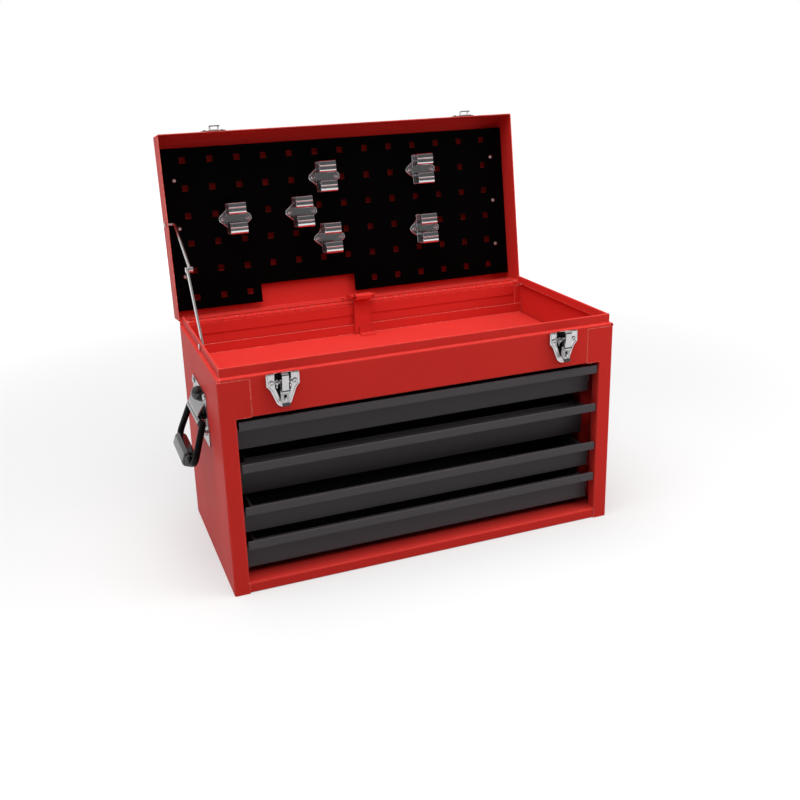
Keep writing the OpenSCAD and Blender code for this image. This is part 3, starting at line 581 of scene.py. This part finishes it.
def loft(mesh: Mesh, sections: list[list[Vector]], bent: bool = False) -> None:
    """Adds a skin through closed sections, with a cap at each end.

    Args:
        mesh: the mesh to add to.
        sections: rings of points, all of the same length.
        bent: closes the ends with a strip, for a ring that runs out and back on a bent line.
    """
    rings = skin(mesh, sections)
    for ring in (rings[0], rings[-1]):
        if bent:
            for k in range(len(ring) // 2 - 1):
                mesh.faces.new((ring[k], ring[k + 1], ring[-2 - k], ring[-1 - k]))
        else:
            mesh.faces.new(ring)


@dataclass(frozen=True)
class CupRivet:
    """A tubular rivet whose head is rolled over round a hollow."""

    radius: float
    height: float
    sink: float = 0.0003
    head: Line = ((1.0, 0.0), (0.985, 0.3), (0.92, 0.6), (0.78, 0.88), (0.62, 1.0), (0.48, 0.97),
                  (0.38, 0.82), (0.33, 0.55), (0.31, 0.3), (0.0, 0.26))
    foot: float = 0.97

    def add(self, mesh: Mesh, pose: Matrix) -> None:
        """Adds one head that stands on the pose's XY plane.

        Args:
            mesh: the mesh to add to.
            pose: where the head stands.
        """
        foot = [(0.0, -self.sink), (self.foot * self.radius, -self.sink)]
        lathe(mesh, foot + [(r * self.radius, h * self.height) for r, h in self.head], pose)


@dataclass(frozen=True)
class CrossScrew:
    """A pan-head screw with a cross recess."""

    radius: float = 0.0026
    height: float = 0.0015
    fullness: float = 0.92
    arm_half: float = 0.00042
    arm_reach: float = 0.0017
    arm_edge: float = 0.00022
    depth: float = 0.0009
    sink: float = 0.0003
    rings: int = 20
    around: int = 64

    def _height(self, x: float, y: float) -> float:
        """Gives the head's height over a point of its foot.

        Args:
            x: the point's place along one arm of the cross.
            y: its place along the other arm.

        Returns:
            The height.
        """
        out = self.fullness * (x * x + y * y) / self.radius ** 2
        crown = self.height * math.sqrt(max(0.0, 1 - out))
        first = max(abs(x) - self.arm_half, abs(y) - self.arm_reach)
        second = max(abs(y) - self.arm_half, abs(x) - self.arm_reach)
        inside = min(1.0, max(0.0, 0.5 - min(first, second) / self.arm_edge))
        return crown - self.depth * inside * inside * (3 - 2 * inside)

    def add(self, mesh: Mesh, pose: Matrix) -> None:
        """Adds one head that stands on the pose's XY plane.

        Args:
            mesh: the mesh to add to.
            pose: where the head stands.
        """
        circle = [(math.cos(a), math.sin(a)) for a in arc(0, 360, self.around)[:-1]]
        rings = [[pose @ Vector((self.radius * x, self.radius * y, -self.sink))
                  for x, y in circle]]
        for step in range(self.rings, 0, -1):
            r = self.radius * step / self.rings
            rings.append([pose @ Vector((r * x, r * y, self._height(r * x, r * y)))
                          for x, y in circle])
        rings.append([pose @ Vector((0.0, 0.0, self._height(0.0, 0.0)))])
        mesh.faces.new(list(reversed(skin(mesh, rings)[0])))


@dataclass(frozen=True)
class HingeLip:
    """A folded lip along the hinge, which closes the slit beside the knuckles."""

    half_length: float = 0.2612
    near: float = -0.00283
    far: float = -0.0031
    start: float = 0.0001
    fold: float = 0.0002
    reach: float = 0.0036

    def add(self, mesh: Mesh, pose: Matrix, rise: int) -> None:
        """Adds the lip along the hinge's axis.

        Args:
            mesh: the mesh to add to.
            pose: the hinge's axis, with the panel in front of it.
            rise: 1 for a lip above the axis, -1 for one below it.
        """
        section = [(self.near, self.start), (self.near, self.reach), (self.far, self.reach),
                   (self.far, self.start + self.fold), ((self.near + self.far) / 2, self.start)]
        loft(mesh, [[pose @ Vector((end * self.half_length, y, rise * z)) for y, z in section]
                    for end in ENDS])


@dataclass
class SubAssembly:
    """Frame nodes that are dressed together, with the pieces that stand for some of them."""

    finishes: Finishes
    slots: dict[str, Slot]

    def names(self) -> list[str]:
        """Gives the frame nodes of the group."""
        raise NotImplementedError

    def build(self) -> None:
        """Builds the group's own pieces; a plain group has none."""

    def dress(self) -> None:
        """Gives each node its finish."""
        for name in self.names():
            self.finishes.dress(frame["nodes"][name], name, self.slots[name])
            LOG.info("%s: %s", name, self.slots[name].value)

    def add(self, name: str, mesh: Mesh, body: str, slot: Slot, *stands_for: str) -> None:
        """Turns a mesh into a piece that rides on a body.

        Args:
            name: the piece's name.
            mesh: its mesh, which is used up.
            body: the body that carries it.
            slot: the finish it takes.
            stands_for: the frame nodes that it replaces.
        """
        bmesh.ops.recalc_face_normals(mesh, faces=mesh.faces)
        for edge in mesh.edges:
            edge.smooth = edge.calc_face_angle(0.0) < SHARP
        data = bpy.data.meshes.new(name)
        mesh.to_mesh(data)
        mesh.free()
        piece = bpy.data.objects.new(name, data)
        bpy.context.scene.collection.objects.link(piece)
        self.finishes.dress(piece, name, slot)
        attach(piece, body)
        if stands_for:
            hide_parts(*stands_for)
        LOG.info("%s: a piece on %s", name, body)


@dataclass
class Case(SubAssembly):
    """The painted case, its slides and the rivets of what is fixed to it."""

    half_width: float = 0.2625
    latch_rivet: CupRivet = CupRivet(0.0034, 0.0016)
    latch_rivet_off: float = 0.014
    latch_rivet_level: float = 0.268
    handle_rivet: CupRivet = CupRivet(0.004, 0.0022)
    handle_rivets: Line = ((0.036, 0.230), (0.024, 0.178))
    handle_face: float = 0.0012
    barrel: Pair = (0.2507, 0.2615)
    barrel_radius: float = 0.0028
    barrel_chamfer: float = 0.0004

    def names(self) -> list[str]:
        """Gives the case's nodes."""
        sides = [f"{side}_{part}" for side in SIDES
                 for part in ("side_panel", "rail_posts", "slide_rails")]
        return sides + ["back_panel", "bottom_pan", "front_fascia", "tray_floor",
                        "hinge_case_leaf", "hinge_pin", "case_rivets"]

    def build(self) -> None:
        """Builds the rivets of the latches and handles, and the ends and lip of the hinge."""
        rivets, barrels, lip = bmesh.new(), bmesh.new(), bmesh.new()
        start, end = self.barrel
        r, cut = self.barrel_radius, self.barrel_chamfer
        profile = [(0.0, start), (r, start), (r, end - cut), (r - cut, end), (0.0, end)]
        for side in SIDES.values():
            outwards = Matrix.Rotation(side * math.pi / 2, 4, "Y")
            for way in ENDS:
                place = Vector((side * LATCH_MIDDLE + way * self.latch_rivet_off,
                                CASE_FRONT - PLATE_RISE, self.latch_rivet_level))
                self.latch_rivet.add(rivets, Matrix.Translation(place) @ FACING_FRONT)
            for reach, level in self.handle_rivets:
                for way in ENDS:
                    place = Vector((side * (self.half_width + self.handle_face), way * reach,
                                    level))
                    self.handle_rivet.add(rivets, Matrix.Translation(place) @ outwards)
            lathe(barrels, profile, Matrix.Translation(HINGE) @ outwards)
        HingeLip().add(lip, Matrix.Translation(HINGE), -1)
        self.add("case_cup_rivets", rivets, "case", Slot.NICKEL, "case_rivets")
        self.add("hinge_end_barrels", barrels, "case", Slot.RED)
        self.add("hinge_case_lip", lip, "case", Slot.RED)


def on_lid(place: Vector, turn: Matrix, open_angle: float = 98.0) -> Matrix:
    """Gives the open lid's pose of a fitting that is placed with the lid shut.

    Args:
        place: where it stands with the lid shut.
        turn: how it is turned there.
        open_angle: how far the lid stands open.

    Returns:
        Its pose with the lid open.
    """
    swing = Matrix.Rotation(math.radians(-open_angle), 4, "X")
    return Matrix.Translation(HINGE) @ swing @ Matrix.Translation(place - HINGE) @ turn


@dataclass
class Lid(SubAssembly):
    """The lid, its tool panel, its hinge lip and the strikes on its front edge."""

    screw_column: float = 0.242
    screw_rows: tuple[float, ...] = (-0.065, 0.001, 0.068)
    screw_turn: Pair = (0.5, 0.9)
    strike_rivet: CupRivet = CupRivet(0.0024, 0.0013)
    strike_rivet_off: float = 0.012
    strike_rivet_place: Pair = (-0.1272, 0.2885)

    def names(self) -> list[str]:
        """Gives the lid's nodes."""
        return ["lid_shell", "hinge_lid_leaf", "tool_panel", "panel_spacers", "panel_screws",
                "left_strike", "right_strike"]

    def build(self) -> None:
        """Builds the panel's screws, the rivets of the strikes and the lip over the hinge."""
        screws, rivets, lip = bmesh.new(), bmesh.new(), bmesh.new()
        by_row, by_side = self.screw_turn
        for k, row in enumerate(self.screw_rows):
            for side in ENDS:
                twist = Matrix.Rotation(by_row * k + by_side * side, 4, "Z")
                place = Vector((side * self.screw_column, row, PANEL_FACE))
                CrossScrew().add(screws, on_lid(place, FACING_DOWN @ twist))
        for side in ENDS:
            for way in ENDS:
                place = Vector((side * LATCH_MIDDLE + way * self.strike_rivet_off,
                                *self.strike_rivet_place))
                self.strike_rivet.add(rivets, on_lid(place, FACING_FRONT))
        HingeLip().add(lip, on_lid(HINGE, Matrix()), 1)
        self.add("panel_cross_screws", screws, "lid", Slot.ZINC, "panel_screws")
        self.add("strike_cup_rivets", rivets, "lid", Slot.NICKEL)
        self.add("hinge_rolled_lip", lip, "lid", Slot.RED)


@dataclass
class ToolClips(SubAssembly):
    """The six spring clips, each one strip bent up into two jaws on a plate with two ears.

    The jaw is a line of knots in millimetres, across the clip and away from the panel. The
    ear's layers give, in millimetres, how far each lies inside its outline and above its face.
    """

    places: Line = ((-0.163, -0.007), (-0.066, -0.008), (-0.027, -0.055), (-0.027, 0.033),
                    (0.124, -0.055), (0.124, 0.033))
    half_length: float = 0.0125
    strip: float = 0.0012
    strip_edge: float = 0.00025
    strip_thin: float = 0.5
    ear: float = 0.0175
    ear_radius: float = 0.006
    ear_angle: float = 62.0
    ear_layers: Line = ((0.0, -1.2), (0.0, -0.3), (0.3, 0.0), (0.7, 0.1), (1.1, 0.0),
                        (1.5, -0.4))
    ear_rivet: CupRivet = CupRivet(0.0031, 0.0019)
    waist: float = 0.012
    jaw: Line = ((0.0, 0.6), (10.0, 0.6), (19.2, 0.6), (21.8, 1.6), (22.4, 4.2), (22.3, 11.0),
                 (22.2, 17.5), (21.7, 20.4), (20.2, 22.2), (17.8, 22.7), (15.4, 22.8),
                 (14.6, 22.3), (14.0, 21.9), (13.4, 22.2), (12.6, 22.7), (10.2, 22.7),
                 (7.8, 22.4), (6.4, 21.4), (5.8, 19.6), (5.6, 17.0))
    steps: int = 5

    def names(self) -> list[str]:
        """Gives the clips' nodes and their rivets."""
        return [f"tool_clip_{k + 1}" for k in range(len(self.places))] + ["lid_rivets"]

    def _path(self) -> list[Vector]:
        """Rounds the strip's middle line from lip to lip.

        Returns:
            Points across the clip and away from the panel.
        """
        knots, path = mirrored(metres(self.jaw)[::-1])[::-1], []
        for k in range(len(knots) - 1):
            before, start = knots[max(k - 1, 0)], knots[k]
            end, after = knots[k + 1], knots[min(k + 2, len(knots) - 1)]
            slope = end - before
            bend = 2 * before - 5 * start + 4 * end - after
            twist = 3 * start - before - 3 * end + after
            for step in range(self.steps):
                t = step / self.steps
                path.append(0.5 * (2 * start + slope * t + bend * t * t + twist * t ** 3))
        return path + [knots[-1]]

    def _strip(self, path: list[Vector], thick: float) -> list[Vector]:
        """Gives the strip's closed outline at one thickness.

        Args:
            path: the strip's middle line.
            thick: the thickness of the outline.

        Returns:
            The outline's points.
        """
        sides = [across(path, k) * thick / 2 for k in range(len(path))]
        near = [point - off for point, off in zip(path, sides)]
        far = [point + off for point, off in zip(path, sides)]
        return near + far[::-1]

    def _ear(self, side: int, shrink: float) -> list[Vector]:
        """Gives the outline of one ear.

        Args:
            side: -1 or 1, the end that it is on.
            shrink: how far the outline lies inside the ear's own.

        Returns:
            The outline's points.
        """
        radius, wide = self.ear_radius - shrink, self.waist - shrink
        foot = self.half_length - self.strip
        ring = [Vector((foot, -wide)), Vector((self.half_length, -wide))]
        ring += [Vector((self.ear + radius * math.cos(a), radius * math.sin(a)))
                 for a in arc(-self.ear_angle, self.ear_angle, 12)]
        ring += [Vector((self.half_length, wide)), Vector((foot, wide))]
        return [Vector((side * point.x, point.y)) for point in ring]

    def _clip(self, pose: Matrix) -> Mesh:
        """Builds one clip's mesh.

        Args:
            pose: where the clip stands, with Z away from the panel.

        Returns:
            The mesh.
        """
        mesh, path = bmesh.new(), self._path()
        inner = self.half_length - self.strip_edge
        ends = ((-self.half_length, self.strip_thin), (-inner, 1.0), (inner, 1.0),
                (self.half_length, self.strip_thin))
        loft(mesh, [[pose @ Vector((x, *point)) for point in self._strip(path, self.strip * share)]
                    for x, share in ends], bent=True)
        for side in ENDS:
            loft(mesh, [[pose @ Vector((*point, self.strip + rise * MM))
                         for point in self._ear(side, shrink * MM)]
                        for shrink, rise in self.ear_layers])
        return mesh

    def build(self) -> None:
        """Builds the clips and their rivets."""
        rivets, dish = bmesh.new(), self.ear_layers[-1][1] * MM
        for k, place in enumerate(self.places, 1):
            pose = on_lid(Vector((*place, PANEL_FACE)), FACING_DOWN)
            self.add(f"spring_clip_{k}", self._clip(pose), "lid", Slot.NICKEL, f"tool_clip_{k}")
            for end in ENDS:
                foot = Matrix.Translation((end * self.ear, 0.0, self.strip + dish))
                self.ear_rivet.add(rivets, pose @ foot)
        self.add("clip_cup_rivets", rivets, "lid", Slot.NICKEL, "lid_rivets")


@dataclass
class Drawers(SubAssembly):
    """The four drawers with their runners."""

    count: int = 4

    def names(self) -> list[str]:
        """Gives the drawers' nodes."""
        return [f"drawer_{k + 1}_{part}" for k in range(self.count)
                for part in ("box", "front", "runners")]


@dataclass
class DrawLatches(SubAssembly):
    """The two draw latches, whose plates have a rolled rim, with a black sheet in the well behind
    the lever as painted shade.

    The well, the shoulder and the rim's section are in millimetres. The rim's section gives how
    far each point lies inside the plate's outline and above its face.
    """

    top: float = 0.279
    well: Line = ((9.9, -0.6), (9.9, -15.0), (8.2, -24.0), (6.4, -33.0), (4.4, -36.6),
                  (0.0, -37.4))
    well_levels: Pair = (-0.0010, -0.0015)
    mouth: float = 0.0108
    half_width: float = 0.020
    corner: float = 0.003
    shoulder: Line = ((20.0, -13.2), (19.4, -15.0), (18.2, -16.7), (15.6, -20.2))
    foot: Pair = (-0.0313, 0.0102)
    foot_angle: float = -21.8
    rim: Line = ((-0.15, -0.9), (-0.05, -0.3), (0.2, 0.15), (0.7, 0.45), (1.3, 0.55), (1.9, 0.40),
                 (2.3, 0.12), (2.45, -0.3), (1.2, -0.8))
    flat_below: float = -0.034
    flat_over: float = 0.006
    flat_share: float = 0.2

    def names(self) -> list[str]:
        """Gives the latches' nodes."""
        parts = ("plate", "lever", "hook")
        return [f"{side}_latch_{part}" for side in SIDES for part in parts] + ["latch_pins"]

    def _outline(self) -> list[Vector]:
        """Gives the plate's outer line, from the well's mouth on the right to that on the left.

        Returns:
            Points across the plate and up from its top edge.
        """
        half = [Vector((self.mouth, 0.0))]
        half += [Vector((self.half_width - self.corner * (1 - math.sin(a)),
                         -self.corner * (1 - math.cos(a)))) for a in arc(0, 90, 6)]
        half += metres(self.shoulder)
        depth, radius = self.foot
        half += [Vector((radius * math.cos(a), depth + radius * math.sin(a)))
                 for a in arc(self.foot_angle, -90, 8)]
        return mirrored(half)

    def _rim(self, middle: float) -> Mesh:
        """Builds the rolled rim of one plate, which flattens towards the foot under the lever.

        Args:
            middle: the plate's middle.

        Returns:
            The mesh.
        """
        line, sections = self._outline(), []
        for k, point in enumerate(line):
            inwards = across(line, k)
            share = (point.y - self.flat_below) / self.flat_over
            share = min(1.0, max(self.flat_share, share))
            places = [(point + inwards * inset * MM, height * share * MM)
                      for inset, height in self.rim]
            sections.append([Vector((middle + place.x, CASE_FRONT - PLATE_RISE - rise,
                                     self.top + place.y)) for place, rise in places])
        mesh = bmesh.new()
        loft(mesh, sections)
        return mesh

    def build(self) -> None:
        """Builds the black floors that paint shade into the wells, and the plates' rims."""
        ring = [Vector((-point.x, point.y)) for point in mirrored(metres(self.well))]
        for name, side in SIDES.items():
            middle, floor = side * LATCH_MIDDLE, bmesh.new()
            # The well's floor is a black sheet that paints in the shade of the deep recess behind
            # the lever.
            loft(floor, [[Vector((middle + point.x, CASE_FRONT + level, self.top + point.y))
                          for point in ring] for level in self.well_levels])
            self.add(f"{name}_latch_well_painted_shade", floor, "case", Slot.ROD)
            self.add(f"{name}_latch_rim", self._rim(middle), "case", Slot.NICKEL)


@dataclass
class SideHandles(SubAssembly):
    """The two folding handles, with moulded sleeves as grips and a dome on each plate.

    The grip's stations and the dome's profile are in millimetres. A station gives how far its
    section lies inside the sleeve's own, and its place along the grip.
    """

    pivot: Vector = Vector((-0.270, 0.0, 0.197))
    tilt: float = 19.5
    drop: float = 0.050
    outer: float = 0.0107
    inner: float = 0.0058
    inner_share: float = 0.35
    half_height: float = 0.0095
    corner: float = 0.0056
    corner_share: float = 0.6
    least_corner: float = 0.0018
    corner_steps: int = 14
    stations: Line = ((5.0, 42.7), (3.2, 42.3), (2.5, 41.5), (2.4, 37.6), (2.2, 37.2),
                      (1.2, 36.9), (0.5, 36.2), (0.1, 34.8), (0.0, 32.7), (0.0, 18.6), (0.0, 0.0))
    dome: Line = ((0.0, 0.9), (8.4, 0.9), (8.9, 1.3), (9.1, 2.6), (9.0, 4.4), (8.5, 6.4),
                  (7.6, 8.2), (6.2, 9.7), (4.4, 10.9), (2.3, 11.6), (0.0, 11.8))
    dome_place: Pair = (0.2625, 0.224)
    dome_points: int = 48

    def names(self) -> list[str]:
        """Gives the handles' nodes."""
        parts = ("plate", "bail", "grip")
        return [f"{side}_handle_{part}" for side in SIDES for part in parts]

    def _section(self, inset: float, along: float) -> list[Vector]:
        """Gives one rounded section of the grip.

        Args:
            inset: how far the section lies inside the sleeve's own.
            along: its place along the grip.

        Returns:
            The section's points, outwards first.
        """
        corner = max(self.least_corner, self.corner - self.corner_share * inset)
        low, high = -self.outer + inset, self.inner - self.inner_share * inset
        half, ring = self.half_height - inset, []
        for quarter, (x, z) in enumerate(((high, half), (low, half), (low, -half), (high, -half))):
            x, z = x - math.copysign(corner, x), z - math.copysign(corner, z)
            ring += [Vector((x + corner * math.cos(a), along, z + corner * math.sin(a)))
                     for a in arc(90 * quarter, 90 * (quarter + 1), self.corner_steps)]
        return ring

    def _grip(self, side: int) -> Mesh:
        """Builds one grip's mesh.

        Args:
            side: -1 for the left handle, 1 for the right.

        Returns:
            The mesh.
        """
        stations = [(inset, -along) for inset, along in self.stations]
        stations += reversed(self.stations[:-1])
        pose = Matrix.Translation(self.pivot) @ Matrix.Rotation(math.radians(self.tilt), 4, "Y")
        pose = pose @ Matrix.Translation((0.0, 0.0, -self.drop))
        if side > 0:
            pose = Matrix.Scale(-1.0, 4, (1.0, 0.0, 0.0)) @ pose
        mesh = bmesh.new()
        loft(mesh, [[pose @ point for point in self._section(inset * MM, along * MM)]
                    for inset, along in stations])
        return mesh

    def build(self) -> None:
        """Builds the two grips, and the domed cap on each plate."""
        profile = [(radius * MM, height * MM) for radius, height in self.dome]
        out, level = self.dome_place
        for name, side in SIDES.items():
            dome, outwards = bmesh.new(), Matrix.Rotation(side * math.pi / 2, 4, "Y")
            pose = Matrix.Translation((side * out, 0.0, level)) @ outwards
            lathe(dome, profile, pose, self.dome_points)
            self.add(f"{name}_handle_dome", dome, "case", Slot.GRIP)
            self.add(f"{name}_moulded_grip", self._grip(side), f"{name}_handle", Slot.GRIP,
                     f"{name}_handle_grip")


@dataclass
class LidStay(SubAssembly):
    """The folding stay at the lid's left end."""

    def names(self) -> list[str]:
        """Gives the stay's nodes."""
        return ["stay_lower_link", "stay_upper_link"]


@dataclass
class DrawerLock(SubAssembly):
    """The bar that holds the drawers while the lid is shut."""

    def names(self) -> list[str]:
        """Gives the lock's nodes."""
        return ["lock_bar", "lock_guide", "lock_lugs", "lock_pin"]


@dataclass(frozen=True)
class Viewpoint:
    """Where the photograph was taken from, in the chest's frame, for an 800 by 800 image."""

    place: Vector = Vector((-0.4356, -1.1544, 0.6341))
    azimuth: float = 20.11
    fall: float = 17.67
    roll: float = -1.87
    focal: float = 958.4
    centre: Pair = (384.0, 352.0)
    image: float = 800.0
    sensor: float = 36.0

    def build(self) -> None:
        """Builds the camera and makes it the scene's own."""
        turn, fall, roll = (math.radians(a) for a in (self.azimuth, self.fall, self.roll))
        ahead = Vector((math.sin(turn) * math.cos(fall), math.cos(turn) * math.cos(fall),
                        -math.sin(fall)))
        level = Vector((math.cos(turn), -math.sin(turn), 0.0))
        right = level * math.cos(roll) + level.cross(ahead) * math.sin(roll)
        data = bpy.data.cameras.new("photo_camera")
        data.sensor_width = self.sensor
        data.lens = self.sensor * self.focal / self.image
        data.shift_x = 0.5 - self.centre[0] / self.image
        data.shift_y = self.centre[1] / self.image - 0.5
        data.dof.use_dof = False
        camera = bpy.data.objects.new("photo_camera", data)
        pose = Matrix((right, right.cross(ahead), -ahead)).transposed().to_4x4()
        camera.matrix_world = Matrix.Translation(self.place) @ pose
        bpy.context.scene.collection.objects.link(camera)
        bpy.context.scene.camera = camera


@dataclass(frozen=True)
class Lamp:
    """A square soft light, seen by neither the camera nor the reflections."""

    name: str
    place: Vector
    aim: Vector
    size: float
    power: float

    def hang(self) -> None:
        """Hangs the light and turns it to its aim."""
        data = bpy.data.lights.new(self.name, "AREA")
        data.shape = "SQUARE"
        data.size = self.size
        data.energy = self.power
        lamp = bpy.data.objects.new(self.name, data)
        lamp.location = self.place
        lamp.visible_camera = lamp.visible_glossy = False
        lamp.rotation_euler = (self.aim - self.place).to_track_quat("-Z", "Y").to_euler()
        bpy.context.scene.collection.objects.link(lamp)


@dataclass(frozen=True)
class Studio:
    """A white sweep under soft lights, in a room that is dark behind the camera."""

    lamps: tuple[Lamp, ...] = (
        Lamp("top_light", Vector((-0.35, -0.25, 2.4)), Vector((0.0, 0.05, 0.2)), 2.6, 87.0),
        Lamp("side_light", Vector((1.2, -0.8, 1.0)), Vector((0.1, -0.1, 0.15)), 1.0, 12.0),
        Lamp("left_light", Vector((-1.6, -0.1, 0.8)), Vector((-0.25, 0.0, 0.15)), 1.0, 3.5))
    white: Colour = (1.0, 1.0, 1.0)
    fill: float = 0.11
    dark_side: Vector = Vector((0.42, -0.9, 0.02))
    dark_span: Pair = (-0.1, 0.75)
    dark_room: Colour = (0.11, 0.11, 0.11)
    bright_room: Colour = (0.7, 0.7, 0.7)
    floor_half: float = 7.0
    floor_drop: float = -0.0002
    floor_tone: Colour = (0.42, 0.42, 0.42)
    glow_span: Pair = (0.6, 2.2)
    glow: Pair = (0.42, 1.0)

    def build(self) -> None:
        """Builds the background, the floor and the lights."""
        self._world()
        self._floor()
        for lamp in self.lamps:
            lamp.hang()
        bpy.context.scene.view_settings.view_transform = "Standard"

    def _world(self) -> None:
        """Builds the world: white where it is seen, a plain fill, and the room in mirrors."""
        world = bpy.data.worlds.new("studio")
        world.use_nodes = True
        bpy.context.scene.world = world
        graph = Graph(world.node_tree)
        rays = graph.add("LightPath").outputs
        fill, room, white = (graph.add("Background") for _ in range(3))
        graph.fill(fill, Color=self.white, Strength=self.fill)
        graph.fill(white, Color=self.white)
        facing = graph.vector_math("DOT_PRODUCT", graph.add("TexCoord").outputs["Generated"],
                                   self.dark_side.normalized())
        shade = graph.spread(facing, self.dark_span, (0.0, 1.0), smooth=True)
        graph.fill(room, Color=graph.blend(shade, self.bright_room, self.dark_room))
        straight = graph.math("MAXIMUM", rays["Is Camera Ray"], rays["Is Transmission Ray"])
        lit = fill.outputs[0]
        for ray, shader in ((rays["Is Glossy Ray"], room), (straight, white)):
            lit = graph.fill(graph.add("MixShader"), ray, lit, shader.outputs[0]).outputs[0]
        graph.fill(graph.add("OutputWorld"), Surface=lit)

    def _floor(self) -> None:
        """Builds the floor, white with a soft shadow, and brighter away from the chest."""
        half = self.floor_half
        mesh = bpy.data.meshes.new("floor")
        corners = [(-half, -half, 0.0), (half, -half, 0.0), (half, half, 0.0), (-half, half, 0.0)]
        mesh.from_pydata(corners, [], [(0, 1, 2, 3)])
        floor = bpy.data.objects.new("floor", mesh)
        floor.location.z = self.floor_drop
        bpy.context.scene.collection.objects.link(floor)
        material = bpy.data.materials.new("white sweep")
        material.use_nodes = True
        graph = Graph(material.node_tree)
        rays = graph.add("LightPath").outputs
        seen = graph.math("MAXIMUM", rays["Is Camera Ray"], rays["Is Glossy Ray"])
        away = graph.vector_math("LENGTH", graph.place())
        rise = graph.spread(away, self.glow_span, self.glow, smooth=True)
        matt = graph.fill(graph.add("BsdfDiffuse"), Color=self.floor_tone)
        glow = graph.fill(graph.add("Emission"), Strength=graph.math("MULTIPLY", seen, rise))
        both = graph.fill(graph.add("AddShader"), matt.outputs[0], glow.outputs[0])
        graph.fill(graph.add("OutputMaterial"), Surface=both.outputs[0])
        mesh.materials.append(material)


def record_slots() -> dict[str, Slot]:
    """Reads each node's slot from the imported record."""
    return {part["node"]: Slot(part["material_slot"]) for part in frame["record"]["subparts"]}


def main() -> None:
    """Dresses the chest and sets the scene around it."""
    logging.basicConfig(level=logging.INFO, format="%(name)s %(message)s")
    Viewpoint().build()
    Studio().build()
    finishes, slots = Finishes(EffectLibrary()), record_slots()
    for group in (Case, Lid, ToolClips, Drawers, DrawLatches, SideHandles, LidStay, DrawerLock):
        assembly = group(finishes, slots)
        assembly.dress()
        assembly.build()


if __name__ == "__main__":
    main()
